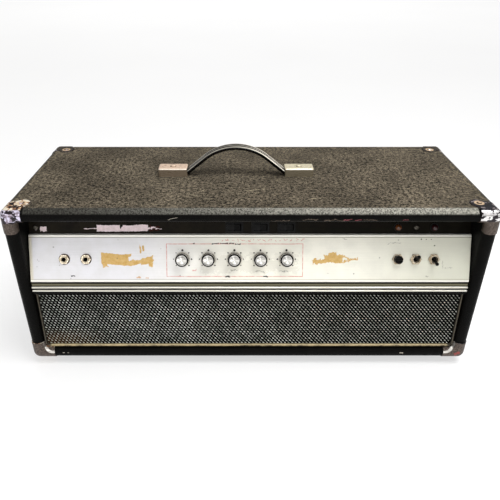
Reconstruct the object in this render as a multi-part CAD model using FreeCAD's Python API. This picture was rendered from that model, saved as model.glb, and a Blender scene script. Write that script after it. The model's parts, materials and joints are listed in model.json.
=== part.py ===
"""Guitar amplifier head: a covered plywood sleeve, a leaning control panel on a steel chassis,
valves and transformers hanging below it, a grille, chrome corners and a strap handle.
Millimetres. X is across the front, the front faces -Y, Z is up and the feet stand on Z = 0."""
import FreeCAD, Part
import math
import os

os.makedirs("parts", exist_ok=True)
V = FreeCAD.Vector

# ------------------------------------------------------------------ cabinet sizes
cabinet_width = 670.0
cabinet_depth = 263.0
cabinet_height = 254.0      # without the feet
board = 19.0                # wall thickness, covering included
vinyl = 0.8                 # covering thickness
edge_radius = 10.0          # long outer edges
nose_radius = 9.0           # front and back edges of the boards
cover_lap_front = 75.0      # how far the covering turns inside at the front
cover_lap_back = 22.0
opening_corner = 1.5        # small radius in the corners of the opening

foot_height = 12.0
foot_radius = 19.0
foot_inset_x = 62.0         # foot centre to the cabinet's end
foot_inset_y = 48.0

# ------------------------------------------------------------------ control panel sizes
panel_lean = 22.6           # degrees back from upright
panel_setback = 5.5         # foot of the panel behind the front plane
panel_slant = 69.5          # height of the pale panel up its slope
panel_sheet = 1.6
panel_flange = 4.0          # depth of its turned edges
panel_roll = 2.0            # outer radius of the turned edges
panel_rim = 0.7             # raised border, above the panel's face
panel_rim_width = 3.6
panel_rim_end = 2.2         # width of the border at the two ends
strip_gap = 0.6             # shadow line between the pale panel and the dark strip
strip_slant = 25.5          # height of the dark strip above it
strip_sheet = 1.5
roof_gap = 8.5              # top of the dark strip to the top board's underside
end_gap = 1.5               # panel, trim and grille ends to the side boards
control_drop = 1.15         # row of controls below the middle of the pale panel
strip_rise = 8.9            # row of rockers and lamps above the foot of the dark strip
strip_screw_inset = 10.0    # left screw of the strip from its end
knob_pitch = 37.1
knob_centre = -22.1         # middle knob
jack_inset = 51.0           # first jack from the left inner wall
jack_pitch = 31.0
switch_inset = 53.4         # last switch from the right inner wall
switch_pitch = 25.8

# ------------------------------------------------------------------ chassis sizes
steel = 1.5
chassis_end_gap = 6.0
chassis_back_inset = 34.0   # chassis rear wall from the back plane
chassis_top_gap = 7.0
chassis_drop = 0.5          # chassis floor below the panel's foot
batten = 18.0               # square wooden battens inside
rail_width = 25.2           # the wider batten that the chassis stands on
rail_front_inset = 42.0     # its front end from the front plane
rail_back_gap = 6.0         # its back end to the chassis rear wall
chassis_bolt_head = 5.0
chassis_bolt_radius = 2.5
chassis_bolt_inset = (25.0, 29.0)   # front and back bolts from the ends of the rail
guard_inset = 14.0          # outer face of the rear guard from the back plane
guard_sheet = 1.5
guard_gap = 1.0             # guard to the bottom board
guard_top_gap = 3.0         # guard to the chassis floor
guard_screw_inset = 76.0    # outer lower screws of the guard from the side boards
guard_screw_drop = 34.0     # its upper screws below its top edge
guard_slot_width = 6.0
guard_slot_pitch = 18.0
guard_slot_gap = 10.0       # between the two rows of slots
guard_slot_inset = 45.0     # last slot from the side board
guard_slot_low = 8.0        # slots above the lower batten
guard_slot_high = 12.0      # slots below the guard's top edge

# ------------------------------------------------------------------ trim and grille sizes
trim_gap = 0.6              # lowest edge of the panel to the trim
trim_height = 19.0
trim_sheet = 4.0
bead_radius = 1.45
bead_rise = 2.6             # bead crown in front of the trim's face
bead_drops = (6.4, 12.0)    # bead centres below the trim's top
grille_lean = 4.0
grille_setback = 4.6        # foot of the grille behind the front plane
grille_gap = 1.4            # grille to the bottom board
grille_top_gap = 0.4        # grille to the trim
cloth = 1.0
frame_sheet = 10.0
frame_border = 18.0
piping_radius = 1.9
piping_bend = 6.0           # centre-line radius at the lower corners

# ------------------------------------------------------------------ hardware sizes
corner_sheet = 1.0
corner_wrap = 10.0          # how far a corner turns inside the opening
corner_screw_inset = 24.5
patch_reach = 29.0          # how far a corner's patch runs along the long edge
patch_waist = (29.3, 11.0)  # where its lobe starts: in from the end, in from the front
lobe_far = (36.8, 27.0)     # the lobe round the screw
lobe_end = (25.0, 36.5)
patch_neck = (16.5, 31.5)
patch_heel = (9.0, 29.0)
patch_side = 28.5
top_corner_reach = (29.0, 35.0)      # along the board, down the post
bottom_corner_reach = (34.0, 29.0)
handle_centre = -20.0
handle_gap = 147.0          # clear span between the two end caps
cap_length = 44.0
cap_width = 23.0
cap_height = 12.5
cap_wall = 1.2
cap_edge = 2.6
strap_width = 19.8
strap_thick = 5.0
strap_rise = 39.8           # centre line, from the ends to the crown
strap_flank = 39.0          # degrees
strap_foot_radius = 7.0
strap_seat = 0.6            # strap end above the top board
strap_inset = 4.0           # where the strap starts to climb, inside the cap's mouth
strap_edge = 1.8

# ------------------------------------------------------------------ controls
running = 0.05              # radial clearance of a turning part
bushing_radius = 4.75       # 3/8 inch thread
nut_flats = 12.7
nut_height = 2.4
washer_radius = 7.9
washer_sheet = 0.9
shaft_radius = 3.15
pot_radius = 12.0
pot_depth = 10.0
pot_wall = 1.5
collar_radius = 7.0
collar_thick = 1.5
knob_skirt_radius = 10.9
knob_radius = 9.3
knob_height = 14.0
knob_lift = 0.9             # underside of the knob above the panel
knob_skirt_height = 2.6
knob_recess = 8.3           # hollow that clears the nut
knob_flutes = 24
flute_radius = 0.75
knob_cap_radius = 8.2
knob_cap_thick = 1.2
jack_bore = 3.2             # takes a 6.35 mm plug
jack_length = 32.0
jack_side = 18.0
toggle_bushing = 5.9
toggle_nut_flats = 14.3
toggle_throw = 20.0         # degrees each side of upright
toggle_length = 17.0
toggle_ball = 3.0
toggle_seat = 0.5           # ball centre above the panel's face
rocker_width = 18.4
rocker_height = 8.8
rocker_clearance = 0.8
rocker_tilt = 9.0           # degrees each side
rocker_pin = 1.2
lamp_radius = 4.6
bezel_radius = 6.2
lamp_depth = 14.0
fuse_radius = 6.6
fuse_stem = 4.0
fuse_depth = 26.0
fuse_cap_radius = 5.7
fuse_cap_height = 5.5
toggle_case = (13.2, 27.0, 17.0)     # width, height and depth behind the panel
rocker_depth = 16.0

# ------------------------------------------------------------------ inside parts
rear_jack_inset = 96.0      # first rear jack from the right inner wall
rear_jack_pitch = 32.0
rear_line_rise = 46.0       # rear jacks and cord gland above the chassis floor
gland_inset = 60.0          # cord gland from the left inner wall
gland_radius = 8.0
gland_bore = 4.2
gland_length = 16.0
gland_depth = 6.0           # gland inside the rear wall
gland_lip = 3.0
valve_back = 38.0           # row of power valves behind the middle
power_first = -100.0
power_pitch = 52.0
power_base_radius = 16.5
power_base_height = 15.0
power_bulb_radius = 16.0
power_bulb_length = 52.0
small_first = -195.0
small_pitch = 50.0
small_inset = 82.0          # row of small valves behind the front plane
small_radius = 10.5
small_length = 38.0
socket_depth = 9.0
power_socket_radius = 19.0
small_socket_radius = 12.5
mains_place = (-85.0, 25.0)          # from the right inner wall, behind the middle
mains_size = (98.0, 112.0, 84.0, 44.0)     # width, depth, height, core stack
output_place = (78.0, 30.0)          # from the left inner wall, behind the middle
output_size = (82.0, 96.0, 70.0, 38.0)
choke_place = (166.0, 34.0)
choke_size = (54.0, 62.0, 48.0, 26.0)
bell_step = 4.0             # end covers inside the core's outline
bell_edge = 8.0
can_x = 146.0
can_radius = 17.5
can_length = 66.0
can_edge = 2.0
can_pitch = 48.0
can_first = -44.0           # front can from the row of power valves
card_reach = (-190.0, 130.0, -52.0, 62.0)  # circuit board: left, right, front, back
card_sheet = 1.6
pillar_height = 10.0
pillar_radius = 3.0
pillar_columns = (-180.0, -30.0, 120.0)
pillar_rows = (-44.0, 54.0)

# ------------------------------------------------------------------ derived places
half_width = cabinet_width / 2
front = -cabinet_depth / 2
back = cabinet_depth / 2
floor = foot_height
roof = foot_height + cabinet_height
inner_half = half_width - board
inner_floor = floor + board
inner_roof = roof - board
lean = math.radians(panel_lean)
strip_foot = panel_slant + strip_gap
strip_top = strip_foot + strip_slant
strip_line = strip_foot + strip_rise
control_line = panel_slant / 2 - control_drop
panel_foot_z = inner_roof - roof_gap - strip_top * math.cos(lean)
panel_foot_y = front + panel_setback
panel_half = inner_half - end_gap
wall_face = -panel_flange              # chassis front wall's outer face, along the panel's normal
wall_back = wall_face - steel
strip_face = wall_face + strip_sheet
trim_top = panel_foot_z - panel_flange * math.sin(lean) - trim_gap
trim_low = trim_top - trim_height
grille_lean_rad = math.radians(grille_lean)
grille_drop = (cloth + frame_sheet) * math.sin(grille_lean_rad)
grille_foot_z = inner_floor + grille_gap + grille_drop
grille_tall = (trim_low - grille_top_gap - grille_foot_z) / math.cos(grille_lean_rad)
chassis_half = inner_half - chassis_end_gap
chassis_back = back - chassis_back_inset
chassis_floor = panel_foot_z - chassis_drop
chassis_top = inner_roof - chassis_top_gap
strip_panel = FreeCAD.Placement(V(0, panel_foot_y, panel_foot_z),
                                FreeCAD.Rotation(V(1, 0, 0), 90 - panel_lean))
grille_plane = FreeCAD.Placement(V(0, front + grille_setback, grille_foot_z),
                                 FreeCAD.Rotation(V(1, 0, 0), 90 - grille_lean))

knob_places = [knob_centre + knob_pitch * (i - 2) for i in range(5)]
jack_places = [-inner_half + jack_inset + jack_pitch * i for i in range(2)]
switch_places = [inner_half - switch_inset - switch_pitch * (2 - i) for i in range(3)]
rocker_places = knob_places[2:]


# ------------------------------------------------------------------ shape helpers
def save(name, *shapes):
    shape = shapes[0] if len(shapes) == 1 else Part.makeCompound(list(shapes))
    shape.exportStep("parts/" + name + ".step")


def block(x0, x1, y0, y1, z0, z1):
    return Part.makeBox(x1 - x0, y1 - y0, z1 - z0, V(x0, y0, z0))


def rod(radius, length, base=V(0, 0, 0), axis=V(0, 0, 1)):
    return Part.makeCylinder(radius, length, base, axis)


def prism(points, direction):
    """Closed outline of points, pushed along direction."""
    wire = Part.makePolygon(points + [points[0]])
    return Part.Face(wire).extrude(direction)


def outline(start, *steps):
    """Face bounded by straight steps (a point) and arcs (a pair: through, to), closed by a line."""
    edges = []
    here = start
    for step in steps:
        if isinstance(step, tuple):
            edges.append(Part.Arc(here, step[0], step[1]).toShape())
            here = step[1]
        else:
            edges.append(Part.makeLine(here, step))
            here = step
    edges.append(Part.makeLine(here, start))
    return Part.Face(Part.Wire(Part.__sortEdges__(edges)))


def placed(shape, placement):
    moved = shape.copy()
    moved.Placement = placement.multiply(moved.Placement)
    return moved


def on_panel(shape, x=0.0, s=0.0):
    """Shape drawn with +Z as the panel's outward normal, put at (x, s) on the panel."""
    spot = FreeCAD.Placement(V(x, s, 0), FreeCAD.Rotation())
    return placed(shape, strip_panel.multiply(spot))


def hex_nut(flats, height, bore, base=V(0, 0, 0)):
    corner = flats / math.sqrt(3)
    points = [V(corner * math.cos(math.radians(60 * k)), corner * math.sin(math.radians(60 * k)), 0)
              for k in range(6)]
    nut = prism(points, V(0, 0, height)).cut(rod(bore, height))
    dome = Part.makeCone(flats, flats / 2 - 0.3, height + (flats / 2 + 0.3), V(0, 0, 0))
    nut = nut.common(dome)
    nut.translate(base)
    return nut


def screw(head_radius, head_height, shank_radius, length):
    """Oval-head screw, head underside on Z = 0, shank going down."""
    head = rod(head_radius, head_height)
    rim = [e for e in head.Edges if abs(e.CenterOfMass.z - head_height) < 1e-6]
    head = head.makeFillet(head_height * 0.9, rim)
    slot = block(-head_radius, head_radius, -0.4, 0.4, head_height * 0.5, head_height)
    return head.fuse(rod(shank_radius, length, V(0, 0, -length))).cut(slot).removeSplitter()


def aimed(shape, position, outward):
    """Shape drawn along +Z, turned so that +Z points outward, at position."""
    turn = FreeCAD.Rotation(V(0, 0, 1), outward)
    return placed(shape, FreeCAD.Placement(position, turn))


def mirrored_pair(shape):
    return [shape, shape.mirror(V(0, 0, 0), V(1, 0, 0))]


def four_way(shape):
    pair = mirrored_pair(shape)
    return pair + [s.mirror(V(0, 0, 0), V(0, 1, 0)) for s in pair]


# ------------------------------------------------------------------ cabinet
def sleeve(grow):
    """The open-fronted cabinet with every face moved outwards by grow."""
    y0 = front - grow
    y1 = back + grow
    outer = block(-half_width - grow, half_width + grow, y0, y1, floor - grow, roof + grow)
    long_edges = [e for e in outer.Edges if abs(e.BoundBox.YLength - (y1 - y0)) < 1e-6]
    outer = outer.makeFillet(edge_radius + grow, long_edges)
    inner = block(-inner_half + grow, inner_half - grow, y0, y1, inner_floor + grow, inner_roof - grow)
    long_edges = [e for e in inner.Edges if abs(e.BoundBox.YLength - (y1 - y0)) < 1e-6]
    inner = inner.makeFillet(opening_corner, long_edges)
    shell = outer.cut(inner)
    ends = [e for e in shell.Edges if e.BoundBox.YLength < 1e-6]
    nose = min(nose_radius, 0.48 * board) + grow
    return shell.makeFillet(nose, ends)


def corner_patch(point):
    """Strip along one edge with a round lobe about its screw. point(a, b) places (a in, b in)."""
    lip = -corner_sheet - 1
    return outline(point(lip, lip), point(patch_reach, lip), point(*patch_waist),
                   (point(*lobe_far), point(*lobe_end)), (point(*patch_neck), point(*patch_heel)),
                   point(lip, patch_side))


def corner_outlines(along, down, top):
    """Three patches of a corner, as one solid, for the left front corner at the top (or bottom)."""
    x0 = -half_width
    z0 = roof if top else floor
    up = 1 if top else -1
    deep = edge_radius + 2
    out = corner_sheet + 1
    flat = corner_patch(lambda a, b: V(x0 + a, front + b, z0 + up * out))
    flat = flat.extrude(V(0, 0, -up * (deep + out)))
    side = corner_patch(lambda a, b: V(x0 - out, front + b, z0 - up * a))
    side = side.extrude(V(deep + out, 0, 0))

    def nose(a, b):
        return V(x0 + a, front - out, z0 - up * b)

    frontal = outline(nose(-out, -out), nose(along, -out), nose(along, board + 1),
                      (nose(board + 3.4, board + 3.4), nose(board + 1, down - 3)),
                      (nose(board - 0.2, down - 0.6), nose(board - 3, down)), nose(-out, down))
    return flat.fuse([side, frontal.extrude(V(0, corner_wrap + out, 0))])


def corner_screw_places(top):
    """Two screws in each corner: one in the flat, one in the side. (position, outward)"""
    z0 = roof if top else floor
    up = 1 if top else -1
    flat = V(-half_width + corner_screw_inset, front + corner_screw_inset, z0 + up * corner_sheet)
    side = V(-half_width - corner_sheet, front + corner_screw_inset, z0 - up * corner_screw_inset)
    return [(flat, V(0, 0, up)), (side, V(-1, 0, 0))]


corner_bolt = screw(3.7, 1.5, 1.7, 14.0)
corner_screws = []
for at_top in (True, False):
    for position, outward in corner_screw_places(at_top):
        corner_screws += four_way(aimed(corner_bolt, position, outward))

skin = sleeve(0)
mid_board = board / 2
inside = block(-half_width + mid_board, half_width - mid_board, front + cover_lap_front,
               back - cover_lap_back, floor + mid_board, roof - mid_board)
cover = skin.cut(sleeve(-vinyl)).cut(inside)
timber = skin.cut(cover)

# handle fasteners and feet pierce the boards, so they are placed first
cap_mid = handle_gap / 2 + cap_length / 2
handle_places = [handle_centre - cap_mid, handle_centre + cap_mid]
handle_bolt_radius = 2.5
handle_nut_height = 4.0
handle_bolts = []
for x in handle_places:
    bolt = screw(4.6, 2.2, handle_bolt_radius, cap_height + board + 6)
    handle_bolts.append(aimed(bolt, V(x, 0, roof + cap_height), V(0, 0, 1)))
    nut = hex_nut(9.0, handle_nut_height, handle_bolt_radius)
    handle_bolts.append(aimed(nut, V(x, 0, inner_roof), V(0, 0, -1)))

foot_place = V(half_width - foot_inset_x, back - foot_inset_y, 0)
foot_head = 4.5             # recess that hides the screw's head
foot_bolt = screw(4.6, 2.2, 2.2, foot_height - foot_head + 14)
foot_screw = aimed(foot_bolt, foot_place + V(0, 0, foot_head), V(0, 0, -1))
foot = Part.makeCone(foot_radius - 2.5, foot_radius, foot_height, foot_place)
foot = foot.cut([rod(6.5, foot_head, foot_place), foot_screw])
feet = four_way(foot)
foot_screws = four_way(foot_screw)

piercing = corner_screws + handle_bolts + foot_screws
cover = cover.cut(piercing)
timber = timber.cut(piercing)
save("vinyl_cover", cover)
everywhere = 2 * cabinet_width


def slab(low, high, right_end=everywhere):
    """Everything between two heights, which shares the timber out among the boards."""
    return block(-everywhere, right_end, -everywhere, everywhere, low, high)


save("top_board", timber.common(slab(inner_roof, everywhere)))
save("bottom_board", timber.common(slab(0, inner_floor)))
left_side, right_side = mirrored_pair(timber.common(slab(inner_floor, inner_roof, 0)))
save("left_side", left_side)
save("right_side", right_side)
save("feet", *feet)
save("foot_screws", *foot_screws)

corner_skin = sleeve(corner_sheet).cut(skin)
for name, at_top, reach in (("top_corners", True, top_corner_reach),
                            ("bottom_corners", False, bottom_corner_reach)):
    corner = corner_skin.common(corner_outlines(*reach, at_top))
    corner = corner.cut(corner_screws)
    save(name, *four_way(corner))
save("corner_screws", *corner_screws)


# ------------------------------------------------------------------ handle
def strap_outline():
    """Right half of the strap's centre line, as (kind, points), from the crown to the end."""
    flank = math.radians(strap_flank)
    run = handle_gap / 2 + strap_inset
    cot = math.cos(flank) / math.sin(flank)
    radii = (run - strap_rise * cot) / (math.sin(flank) - (1 - math.cos(flank)) * cot)
    crown = radii - strap_foot_radius
    straight = (strap_rise - radii * (1 - math.cos(flank))) / math.sin(flank)
    return flank, crown, straight, run


def strap_edge_points(offset):
    """Key points of the strap's surface at offset from its centre line, crown first."""
    flank, crown, straight, run = strap_outline()
    low = roof + strap_seat + strap_thick / 2
    crown_z = low + strap_rise - crown
    foot_z = low + strap_foot_radius
    big = crown + offset
    small = strap_foot_radius - offset

    def on_crown(angle):
        return V(big * math.sin(angle), 0, crown_z + big * math.cos(angle))

    def on_foot(angle):
        return V(run - small * math.sin(angle), 0, foot_z - small * math.cos(angle))

    end = handle_gap / 2 + cap_length - cap_wall - 1.0
    return on_crown(0), on_crown(flank / 2), on_crown(flank), on_foot(flank), on_foot(flank / 2), \
        on_foot(0), V(end, 0, low + offset)


def mirror_x(point):
    return V(-point.x, point.y, point.z)


def strap_side(offset):
    """Edges along one surface of the strap, from the left end to the right end."""
    top, mid, leave, reach, turn, land, end = strap_edge_points(offset)
    right = [Part.Arc(top, mid, leave).toShape(), Part.makeLine(leave, reach),
             Part.Arc(reach, turn, land).toShape(), Part.makeLine(land, end)]
    left = [Part.Arc(mirror_x(top), mirror_x(mid), mirror_x(leave)).toShape(),
            Part.makeLine(mirror_x(leave), mirror_x(reach)),
            Part.Arc(mirror_x(reach), mirror_x(turn), mirror_x(land)).toShape(),
            Part.makeLine(mirror_x(land), mirror_x(end))]
    return left + right, end


upper, upper_end = strap_side(strap_thick / 2)
lower, lower_end = strap_side(-strap_thick / 2)
strap_ends = [Part.makeLine(upper_end, lower_end), Part.makeLine(mirror_x(upper_end), mirror_x(lower_end))]
strap_wire = Part.Wire(Part.__sortEdges__(upper + lower + strap_ends))
strap = Part.Face(strap_wire).extrude(V(0, strap_width, 0))
strap.translate(V(0, -strap_width / 2, 0))
long_edges = [e for e in strap.Edges if e.BoundBox.YLength < 1e-6 and e.BoundBox.XLength > 1e-3]
strap = strap.makeFillet(strap_edge, long_edges)
strap.translate(V(handle_centre, 0, 0))
strap = strap.cut(handle_bolts)
save("handle_strap", strap)

caps = []
for x, mouth in zip(handle_places, (1, -1)):
    cap_top = roof + cap_height
    cap = block(x - cap_length / 2, x + cap_length / 2, -cap_width / 2, cap_width / 2, roof, cap_top)
    top_edges = [e for e in cap.Edges
                 if e.BoundBox.ZMax > cap_top - 1e-6 or e.BoundBox.ZLength > 1]
    cap = cap.makeFillet(cap_edge, top_edges)
    hollow = block(x - cap_length / 2 + cap_wall, x + cap_length / 2 - cap_wall, -cap_width / 2 + cap_wall,
                   cap_width / 2 - cap_wall, roof, roof + cap_height - cap_wall)
    mouth_cut = block(0, cap_wall * 3, -cap_width / 2 + cap_wall, cap_width / 2 - cap_wall, roof,
                      roof + cap_height - cap_wall)
    mouth_cut.translate(V(x + mouth * cap_length / 2 - cap_wall * 1.5, 0, 0))
    caps.append(cap.cut([hollow, mouth_cut] + handle_bolts))
save("handle_caps", *caps)
save("handle_bolts", *handle_bolts)


# ------------------------------------------------------------------ chassis and panels
def rocker_body_size():
    return rocker_width + 2 * rocker_clearance + 2.4, rocker_height + 2 * rocker_clearance + 2.4


def upper_holes(depth_from, depth_to):
    """Cutters through the dark strip: rocker windows and lamps."""
    wide, tall = rocker_body_size()
    long = depth_to - depth_from
    window = block(-wide / 2, wide / 2, -tall / 2, tall / 2, depth_from, depth_to)
    cutters = [on_panel(window, x, strip_line) for x in rocker_places]
    for x in (switch_places[0], switch_places[2]):
        cutters.append(on_panel(rod(lamp_radius + 1.0, long, V(0, 0, depth_from)), x, strip_line))
    for x in strip_screw_places:
        cutters.append(on_panel(rod(pan_shank, long, V(0, 0, depth_from)), x, strip_line))
    return cutters


def lower_holes(depth_from, depth_to):
    """Cutters through the pale panel: jacks, potentiometers, fuse holder and toggles."""
    long = depth_to - depth_from
    radii = [(x, bushing_radius) for x in jack_places + knob_places]
    radii += [(x, toggle_bushing) for x in switch_places]
    return [on_panel(rod(radius, long, V(0, 0, depth_from)), x, control_line) for x, radius in radii]


pan_shank = 1.9
pan_screw = screw(3.6, 2.0, pan_shank, 8.0)
strip_screw_places = [-panel_half + strip_screw_inset, switch_places[1]]
far = 40.0
panel = block(-panel_half, panel_half, 0, panel_slant, -panel_flange, panel_rim)
rolled = [e for e in panel.Edges if e.BoundBox.XLength > panel_half and e.BoundBox.ZMin > 0]
panel = panel.makeFillet(panel_roll, rolled)
field = block(-panel_half + panel_rim_end, panel_half - panel_rim_end, panel_rim_width,
              panel_slant - panel_rim_width, 0, panel_rim)
panel = panel.cut(field)
hollow = block(-panel_half - 1, panel_half + 1, panel_sheet, panel_slant - panel_sheet,
               -panel_flange, -panel_sheet)
panel = on_panel(panel.cut(hollow)).cut(lower_holes(-far, far))
save("control_panel", panel)

strip = block(-panel_half, panel_half, strip_foot, strip_top, wall_face, strip_face)
save("upper_strip", on_panel(strip).cut(upper_holes(-far, far)))


def slope_point(s, n):
    """World Y and Z of a place s up the slope and n outwards from the panel's face."""
    return (panel_foot_y + s * math.sin(lean) - n * math.cos(lean),
            panel_foot_z + s * math.cos(lean) + n * math.sin(lean))


def chassis_outline(inset, x):
    """Chassis cross-section shrunk by inset, open at the top where inset is not zero."""
    n = wall_face - inset
    bottom = chassis_floor + inset
    top = chassis_top + (1.0 if inset else 0.0)
    foot_s = (bottom - panel_foot_z - n * math.sin(lean)) / math.cos(lean)
    top_s = (top - panel_foot_z - n * math.sin(lean)) / math.cos(lean)
    foot = slope_point(foot_s, n)
    head = slope_point(top_s, n)
    return [V(x, foot[0], foot[1]), V(x, head[0], head[1]),
            V(x, chassis_back - inset, top), V(x, chassis_back - inset, bottom)]


tray = prism(chassis_outline(0, -chassis_half), V(2 * chassis_half, 0, 0))
tray_inside = prism(chassis_outline(steel, -chassis_half + steel), V(2 * (chassis_half - steel), 0, 0))
tray = tray.cut(tray_inside)

# ------------------------------------------------------------------ battens and chassis bolts
batten_top = chassis_floor
rail_front = front + rail_front_inset
rail_back = chassis_back - rail_back_gap
rail = block(inner_half - rail_width, inner_half, rail_front, rail_back, batten_top - batten, batten_top)
guard_back = back - guard_inset
guard_front = guard_back - guard_sheet
floor_half = inner_half - opening_corner
batten_high = inner_floor + batten
rear_foot = block(-floor_half, floor_half, guard_front - batten, guard_front, inner_floor, batten_high)
rear_post = block(inner_half - batten, inner_half, guard_front - batten, guard_front,
                  batten_high, batten_top - batten)
grille_foot_y = front + grille_setback + (cloth + frame_sheet) / math.cos(grille_lean_rad) \
    + batten * math.tan(grille_lean_rad) + 0.5
front_foot = block(-floor_half, floor_half, grille_foot_y, grille_foot_y + batten, inner_floor, batten_high)
trim_face = front + panel_setback + 0.5
trim_back = trim_face + trim_sheet
trim_rail = block(-inner_half, inner_half, trim_back, trim_back + 14.0, trim_low + 1.0, trim_top - 0.6)

chassis_bolts = []
chassis_bolt = screw(chassis_bolt_head, 3.0, chassis_bolt_radius, batten + steel + 4)
for y in (rail_front + chassis_bolt_inset[0], rail_back - chassis_bolt_inset[1]):
    place = V(inner_half - rail_width / 2, y, batten_top - batten)
    chassis_bolts += mirrored_pair(aimed(chassis_bolt, place, V(0, 0, -1)))

guard_low = inner_floor + guard_gap
guard_high = chassis_floor - guard_top_gap
guard_span = inner_half - guard_screw_inset
guard_screw_places = [V(x, guard_back, guard_low + batten / 2) for x in (-guard_span, 0, guard_span)]
for side in (-1, 1):
    place = V(side * (inner_half - batten / 2), guard_back, guard_high - guard_screw_drop)
    guard_screw_places.append(place)
guard_screws = [aimed(pan_screw, place, V(0, 1, 0)) for place in guard_screw_places]

wood = mirrored_pair(rail) + mirrored_pair(rear_post) + [front_foot, rear_foot, trim_rail]
wood = [piece.cut(chassis_bolts + guard_screws) for piece in wood]
save("battens", *wood)
save("chassis_bolts", *chassis_bolts)

# ------------------------------------------------------------------ rear guard
guard = block(-inner_half + 2, inner_half - 2, guard_front, guard_back, guard_low, guard_high)
slot_count = 2 * int((inner_half - guard_slot_inset) / guard_slot_pitch) + 1
slot_low = batten_high + guard_gap + guard_slot_low
slot_tall = (guard_high - guard_slot_high - slot_low - guard_slot_gap) / 2
half_slot = guard_slot_width / 2
slots = []
for k in range(slot_count):
    x = guard_slot_pitch * (k - (slot_count - 1) / 2)
    for row in range(2):
        z = slot_low + row * (slot_tall + guard_slot_gap)
        slots.append(block(x - half_slot, x + half_slot, guard_front - 1, guard_back + 1, z, z + slot_tall))
save("rear_guard", guard.cut(slots + guard_screws))
strip_screw = pan_screw.translated(V(0, 0, strip_face))
strip_screws = [on_panel(strip_screw, x, strip_line) for x in strip_screw_places]
save("pan_screws", *(guard_screws + strip_screws))

# ------------------------------------------------------------------ trim and grille
trim = block(-panel_half, panel_half, trim_face, trim_back, trim_low, trim_top)
beads = []
for drop in bead_drops:
    centre = V(-panel_half, trim_face - bead_rise + bead_radius, trim_top - drop)
    beads.append(rod(bead_radius, 2 * panel_half, centre, V(1, 0, 0)))
    beads.append(block(-panel_half, panel_half, centre.y, trim_face,
                       centre.z - bead_radius, centre.z + bead_radius))
save("panel_trim", trim.fuse(beads).removeSplitter())

grille_half = inner_half - end_gap
board_frame = block(-grille_half, grille_half, 0, grille_tall, -cloth - frame_sheet, -cloth)
window = block(-grille_half + frame_border, grille_half - frame_border,
               frame_border, grille_tall - frame_border, -cloth - frame_sheet - 1, 0)
save("grille_frame", placed(board_frame.cut(window), grille_plane))
save("grille_cloth", placed(block(-grille_half, grille_half, 0, grille_tall, -cloth, 0), grille_plane))

bead_out = 1.3              # bead centre in front of the cloth
bead_in = grille_half - piping_radius - 0.6
bead_low = piping_radius + 0.6
bead_high = grille_tall - 0.6
bend = piping_bend * (1 - math.sqrt(0.5))


def bead_side(side):
    """Upright stretch and lower bend of the piping's centre line at one end."""
    x = side * bead_in
    rise = Part.makeLine(V(x, bead_high, bead_out), V(x, bead_low + piping_bend, bead_out))
    turn = Part.Arc(V(x, bead_low + piping_bend, bead_out), V(x - side * bend, bead_low + bend, bead_out),
                    V(x - side * piping_bend, bead_low, bead_out)).toShape()
    return [rise, turn]


low_half = bead_in - piping_bend
low_run = Part.makeLine(V(-low_half, bead_low, bead_out), V(low_half, bead_low, bead_out))
bead_path = Part.Wire(Part.__sortEdges__(bead_side(-1) + [low_run] + bead_side(1)))
bead_circle = Part.Wire([Part.makeCircle(piping_radius, V(-bead_in, bead_high, bead_out), V(0, 1, 0))])
piping = bead_path.makePipeShell([bead_circle], True, False)
piping = piping.cut(block(-inner_half, inner_half, -5, grille_tall + 5, -10, 0))
save("grille_piping", placed(piping, grille_plane))


# ------------------------------------------------------------------ potentiometers and knobs
def fluted_outline(radius):
    """Round outline with half-round flutes, as a face on Z = 0."""
    edges = []
    step = 2 * math.pi / knob_flutes
    half = math.asin(flute_radius / radius)
    for k in range(knob_flutes):
        start = k * step + half
        finish = (k + 1) * step - half
        middle = (start + finish) / 2
        corner_a = V(radius * math.cos(start), radius * math.sin(start), 0)
        crest = V(radius * math.cos(middle), radius * math.sin(middle), 0)
        corner_b = V(radius * math.cos(finish), radius * math.sin(finish), 0)
        centre = finish + half
        deep = radius * math.cos(half) - flute_radius
        valley = V(deep * math.cos(centre), deep * math.sin(centre), 0)
        after = centre + half
        corner_c = V(radius * math.cos(after), radius * math.sin(after), 0)
        edges.append(Part.Arc(corner_a, crest, corner_b).toShape())
        edges.append(Part.Arc(corner_b, valley, corner_c).toShape())
    return Part.Face(Part.Wire(Part.__sortEdges__(edges)))


shaft_tip = knob_height - 3.0
pot_inner = wall_back - pot_depth
pot_shell = rod(pot_radius, pot_depth, V(0, 0, pot_inner)).cut(
    rod(pot_radius - pot_wall, pot_depth - 2 * pot_wall, V(0, 0, pot_inner + pot_wall)))
pot = pot_shell.fuse(rod(bushing_radius, nut_height + 1.6 - wall_back, V(0, 0, wall_back)))
pot = pot.cut(rod(shaft_radius + running, 40, V(0, 0, wall_back - pot_wall - 0.5)))
shaft = rod(shaft_radius, shaft_tip - (wall_back - 4.0), V(0, 0, wall_back - 4.0))
shaft = shaft.fuse(rod(collar_radius, collar_thick, V(0, 0, wall_back - 4.0 - collar_thick)))
nut = hex_nut(nut_flats, nut_height, bushing_radius)

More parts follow.
